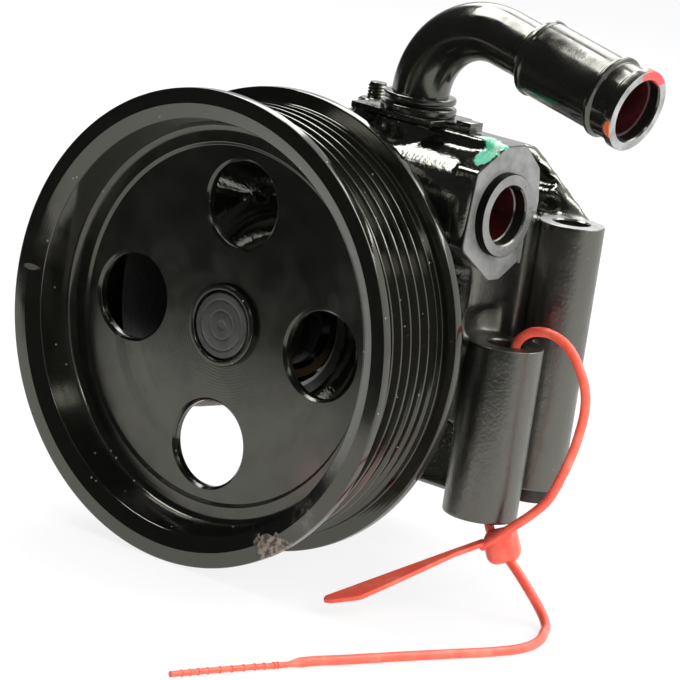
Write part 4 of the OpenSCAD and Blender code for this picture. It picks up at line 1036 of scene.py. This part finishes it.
class PUMP_OT_rear(bpy.types.Operator):
    """Turn the rear cover, its bolts, the valve plug, the cup plug and the boss sleeve"""

    bl_idname = "pump.rear"
    bl_label = "Rear Cover and Plugs"

    def execute(self, context):
        low, high = (Vector(corner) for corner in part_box("rear_cover"))
        front = (low.y - FRONT_Y) / MM
        back = (high.y - FRONT_Y) / MM - 3
        cover = lathe("rear_cover_cast", [
            (0, front, 0), (34.4, front, 0.3), (34.4, front + 4, 0), (45, front + 4, 0.3), (45, back, 1.2),
            (26.5, back, 1.5), (23.5, back + 3, 1.5), (14.5, back + 3, 1.5),
            (12.5, back + 1, 1.5), (0, back + 1, 0),
        ], SHAFT, Y_AXIS, 160)
        dress(cover, "body", "housing", "body_paint", "rear_cover")
        bolt = hex_head("cover_bolts_hex", spot(39.75, 0, 0), Y_AXIS, 4.6, back, back + 4.5, flange=(5, 1.2))
        bolts = [bolt] + [twin_of(bolt, "cover_bolt") for i in range(BOLTS - 1)]
        for i, piece in enumerate(bolts):
            open_mesh(piece)
            bpy.ops.transform.rotate(
                value=2 * math.pi / BOLTS * (i + 0.5), orient_axis="Y", orient_type="GLOBAL",
                center_override=SHAFT,
            )
        bolts = join("cover_bolts_hex", bolts)
        dress(bolts, "shaft", "housing", "body_paint", "cover_bolts")
        self.plugs()
        return {"FINISHED"}

    def plugs(self):
        head = hex_head("valve_plug_hex", VALVE, -X_AXIS, 11.5, 31.5, 37)
        combine(head, lathe("plug_flange", [
            (0, -31.7, 0), (11.5, -31.7, 0.3), (11.5, -30.03, 0.2), (9.1, -30.03, 0),
            (9.1, -18.1, 0.5), (0, -18.1, 0),
        ], VALVE, X_AXIS), "UNION")
        smooth(head)
        dress(head, "body", "housing", "body_paint", "valve_plug")
        spring = merge_copy("flow_spring", "valve_spring")
        dress(spring, "spool", "housing", "spring_steel", "flow_spring")
        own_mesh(spring)
        cup = lathe("passage_cup", [
            (0, -54.1, 0), (8.95, -54.1, 0.6), (8.95, -60, 0.3), (7.4, -60, 0.3), (7.4, -56, 0.6),
            (0, -56, 0),
        ], spot(0, 50.96, 0), X_AXIS)
        dress(cup, "body", "housing", "body_paint", "passage_plug")
        sleeve = lathe("boss_sleeve", [
            (4.5, -34.4, 0), (4.9, -34.4, 0), (6.8, -34.4, 0.4), (6.8, -10.4, 0.2),
            (4.5, -10.4, 0), (4.5, -34.4, 0),
        ], REAR_BOSS, Z_AXIS)
        dress(sleeve, "sleeve", "housing", "shaft_steel", "mount_sleeve")


# Where the table ends in front and on the left, how far the floor goes, and how much of it glows.
TABLE_FRONT, TABLE_LEFT, FLOOR_REACH = -0.235, -1.5, 16
FLOOR_GLOW = 0.85
FLOOR_GAP = 0.0002


class PUMP_OT_stage(bpy.types.Operator):
    """Set the camera, the white floor and the soft lights"""

    bl_idname = "pump.stage"
    bl_label = "Stage"

    def execute(self, context):
        self.camera(context)
        self.floor()
        self.lights()
        self.surroundings(context)
        context.scene.view_settings.view_transform = "Standard"
        return {"FINISHED"}

    def camera(self, context):
        clear_selection()
        bpy.ops.object.camera_add()
        camera = context.object
        camera.name = "photo_camera"
        camera.data.sensor_width = 36
        camera.data.lens = 206.8
        camera.data.clip_start = 0.01
        right, up, back = (0.7756, 0.6143, 0.1452), (-0.2453, 0.0814, 0.9660), (0.5816, -0.7849, 0.2138)
        turn = Matrix((right, up, back)).transposed().to_4x4()
        camera.matrix_world = Matrix.Translation(spot(580.1, -722.5, 205.4)) @ turn
        context.scene.camera = camera

    def floor(self):
        """White table that ends in front of the pulley, and a wider floor that only the camera sees."""
        white = bpy.data.materials.new("white_floor")
        work = NodeWork(white)
        work.nodes.remove(work.nodes["Principled BSDF"])
        seen = work.node("LightPath")
        rays = work.maths("ADD", seen["Is Camera Ray"], seen["Is Glossy Ray"])
        rays = work.maths("ADD", rays, seen["Is Transmission Ray"], clamp=True)
        cloth = work.node("BsdfDiffuse", {"Color": (0.88, 0.88, 0.88)})[0]
        glow = work.node("Emission")[0]
        mix = work.node("MixShader", {0: work.maths("MULTIPLY", rays, FLOOR_GLOW), 1: cloth, 2: glow})[0]
        work.wire(mix, work.nodes["Material Output"].inputs["Surface"])
        for name, low, high, mirrored in (
            ("table", (TABLE_LEFT, TABLE_FRONT), (FLOOR_REACH, FLOOR_REACH), True),
            ("floor_in_front", (TABLE_LEFT, -FLOOR_REACH), (FLOOR_REACH, TABLE_FRONT), False),
            ("floor_left", (-FLOOR_REACH, -FLOOR_REACH), (TABLE_LEFT, FLOOR_REACH), False),
        ):
            clear_selection()
            middle = ((low[0] + high[0]) / 2, (low[1] + high[1]) / 2, FLOOR_Z - FLOOR_GAP)
            bpy.ops.mesh.primitive_plane_add(size=1, location=middle)
            bpy.context.object.scale = (high[0] - low[0], high[1] - low[1], 1)
            plane = added(name)
            plane.data.materials.append(white)
            plane.visible_glossy = mirrored

    def lights(self):
        target = spot(10, 40, 0)
        for name, place, size, power, mirrored in (
            ("softbox_left", (-0.46, 0, 0.84), (0.72, 0.38), 9, True),
            ("softbox_left_back", (-0.5, 0.55, 0.62), (0.5, 0.5), 3.4, True),
            ("softbox_back", (0.5, 0.6, 0.85), (0.9, 0.7), 10, True),
            ("softbox_front", (0.75, -0.6, 0.8), (0.2, 0.18), 1, True),
            ("fill_right", (0.9, -0.25, 0.35), (0.6, 0.6), 6, False),
        ):
            clear_selection()
            bpy.ops.object.light_add(type="AREA", location=place)
            lamp = bpy.context.object
            lamp.name = name
            lamp.data.shape = "RECTANGLE"
            lamp.data.size, lamp.data.size_y = size
            lamp.data.energy = power
            lamp.visible_glossy = mirrored
            lamp.rotation_euler = (Vector(place) - target).to_track_quat("Z", "Y").to_euler()

    def surroundings(self, context):
        """White behind and to the right of the pump, and a dark room in front of it."""
        world = bpy.data.worlds.new("studio")
        context.scene.world = world
        work = NodeWork(world)
        way = work.node("TexCoord")["Generated"]
        toward = Vector((0.45, 0.85, 0.15)).normalized()
        bright = work.node("VectorMath", {0: way, 1: toward}, operation="DOT_PRODUCT")["Value"]
        sky = work.nodes["Background"].inputs
        work.wire(work.ramp(bright, -0.1, 0.6, 0.03, 1.0), sky["Strength"])
        work.wire((1, 1, 1), sky["Color"])


class PUMP_PT_panel(bpy.types.Panel):
    """Lists the steps that build the dressed pump"""

    bl_idname = "PUMP_PT_panel"
    bl_label = "Power Steering Pump"
    bl_space_type = "VIEW_3D"
    bl_region_type = "UI"
    bl_category = "Pump"

    def draw(self, context):
        for step in STEPS:
            self.layout.operator(step.bl_idname)


GROUPS = {
    "pump_pulley": PulleySizes, "pump_body": BodySizes, "pump_pipe": PipeSizes, "pump_tie": TieSizes,
    "pump_colours": FinishColours,
}
STEPS = (
    PUMP_OT_stage, PUMP_OT_finishes, PUMP_OT_tie, PUMP_OT_pulley, PUMP_OT_housing, PUMP_OT_fitting,
    PUMP_OT_pipe, PUMP_OT_clip, PUMP_OT_rear,
)


def register():
    for group in GROUPS.values():
        bpy.utils.register_class(group)
    for name, group in GROUPS.items():
        setattr(bpy.types.Scene, name, bpy.props.PointerProperty(type=group))
    for step in STEPS:
        bpy.utils.register_class(step)
    bpy.utils.register_class(PUMP_PT_panel)


def unregister():
    bpy.utils.unregister_class(PUMP_PT_panel)
    for step in reversed(STEPS):
        bpy.utils.unregister_class(step)
    for name, group in GROUPS.items():
        delattr(bpy.types.Scene, name)
        bpy.utils.unregister_class(group)


def main():
    register()
    bpy.ops.pump.stage()
    bpy.ops.pump.finishes()
    bpy.ops.pump.tie()
    bpy.ops.pump.pulley()
    bpy.ops.pump.housing()
    bpy.ops.pump.fitting()
    bpy.ops.pump.pipe()
    bpy.ops.pump.clip()
    bpy.ops.pump.rear()


if __name__ == "__main__":
    main()
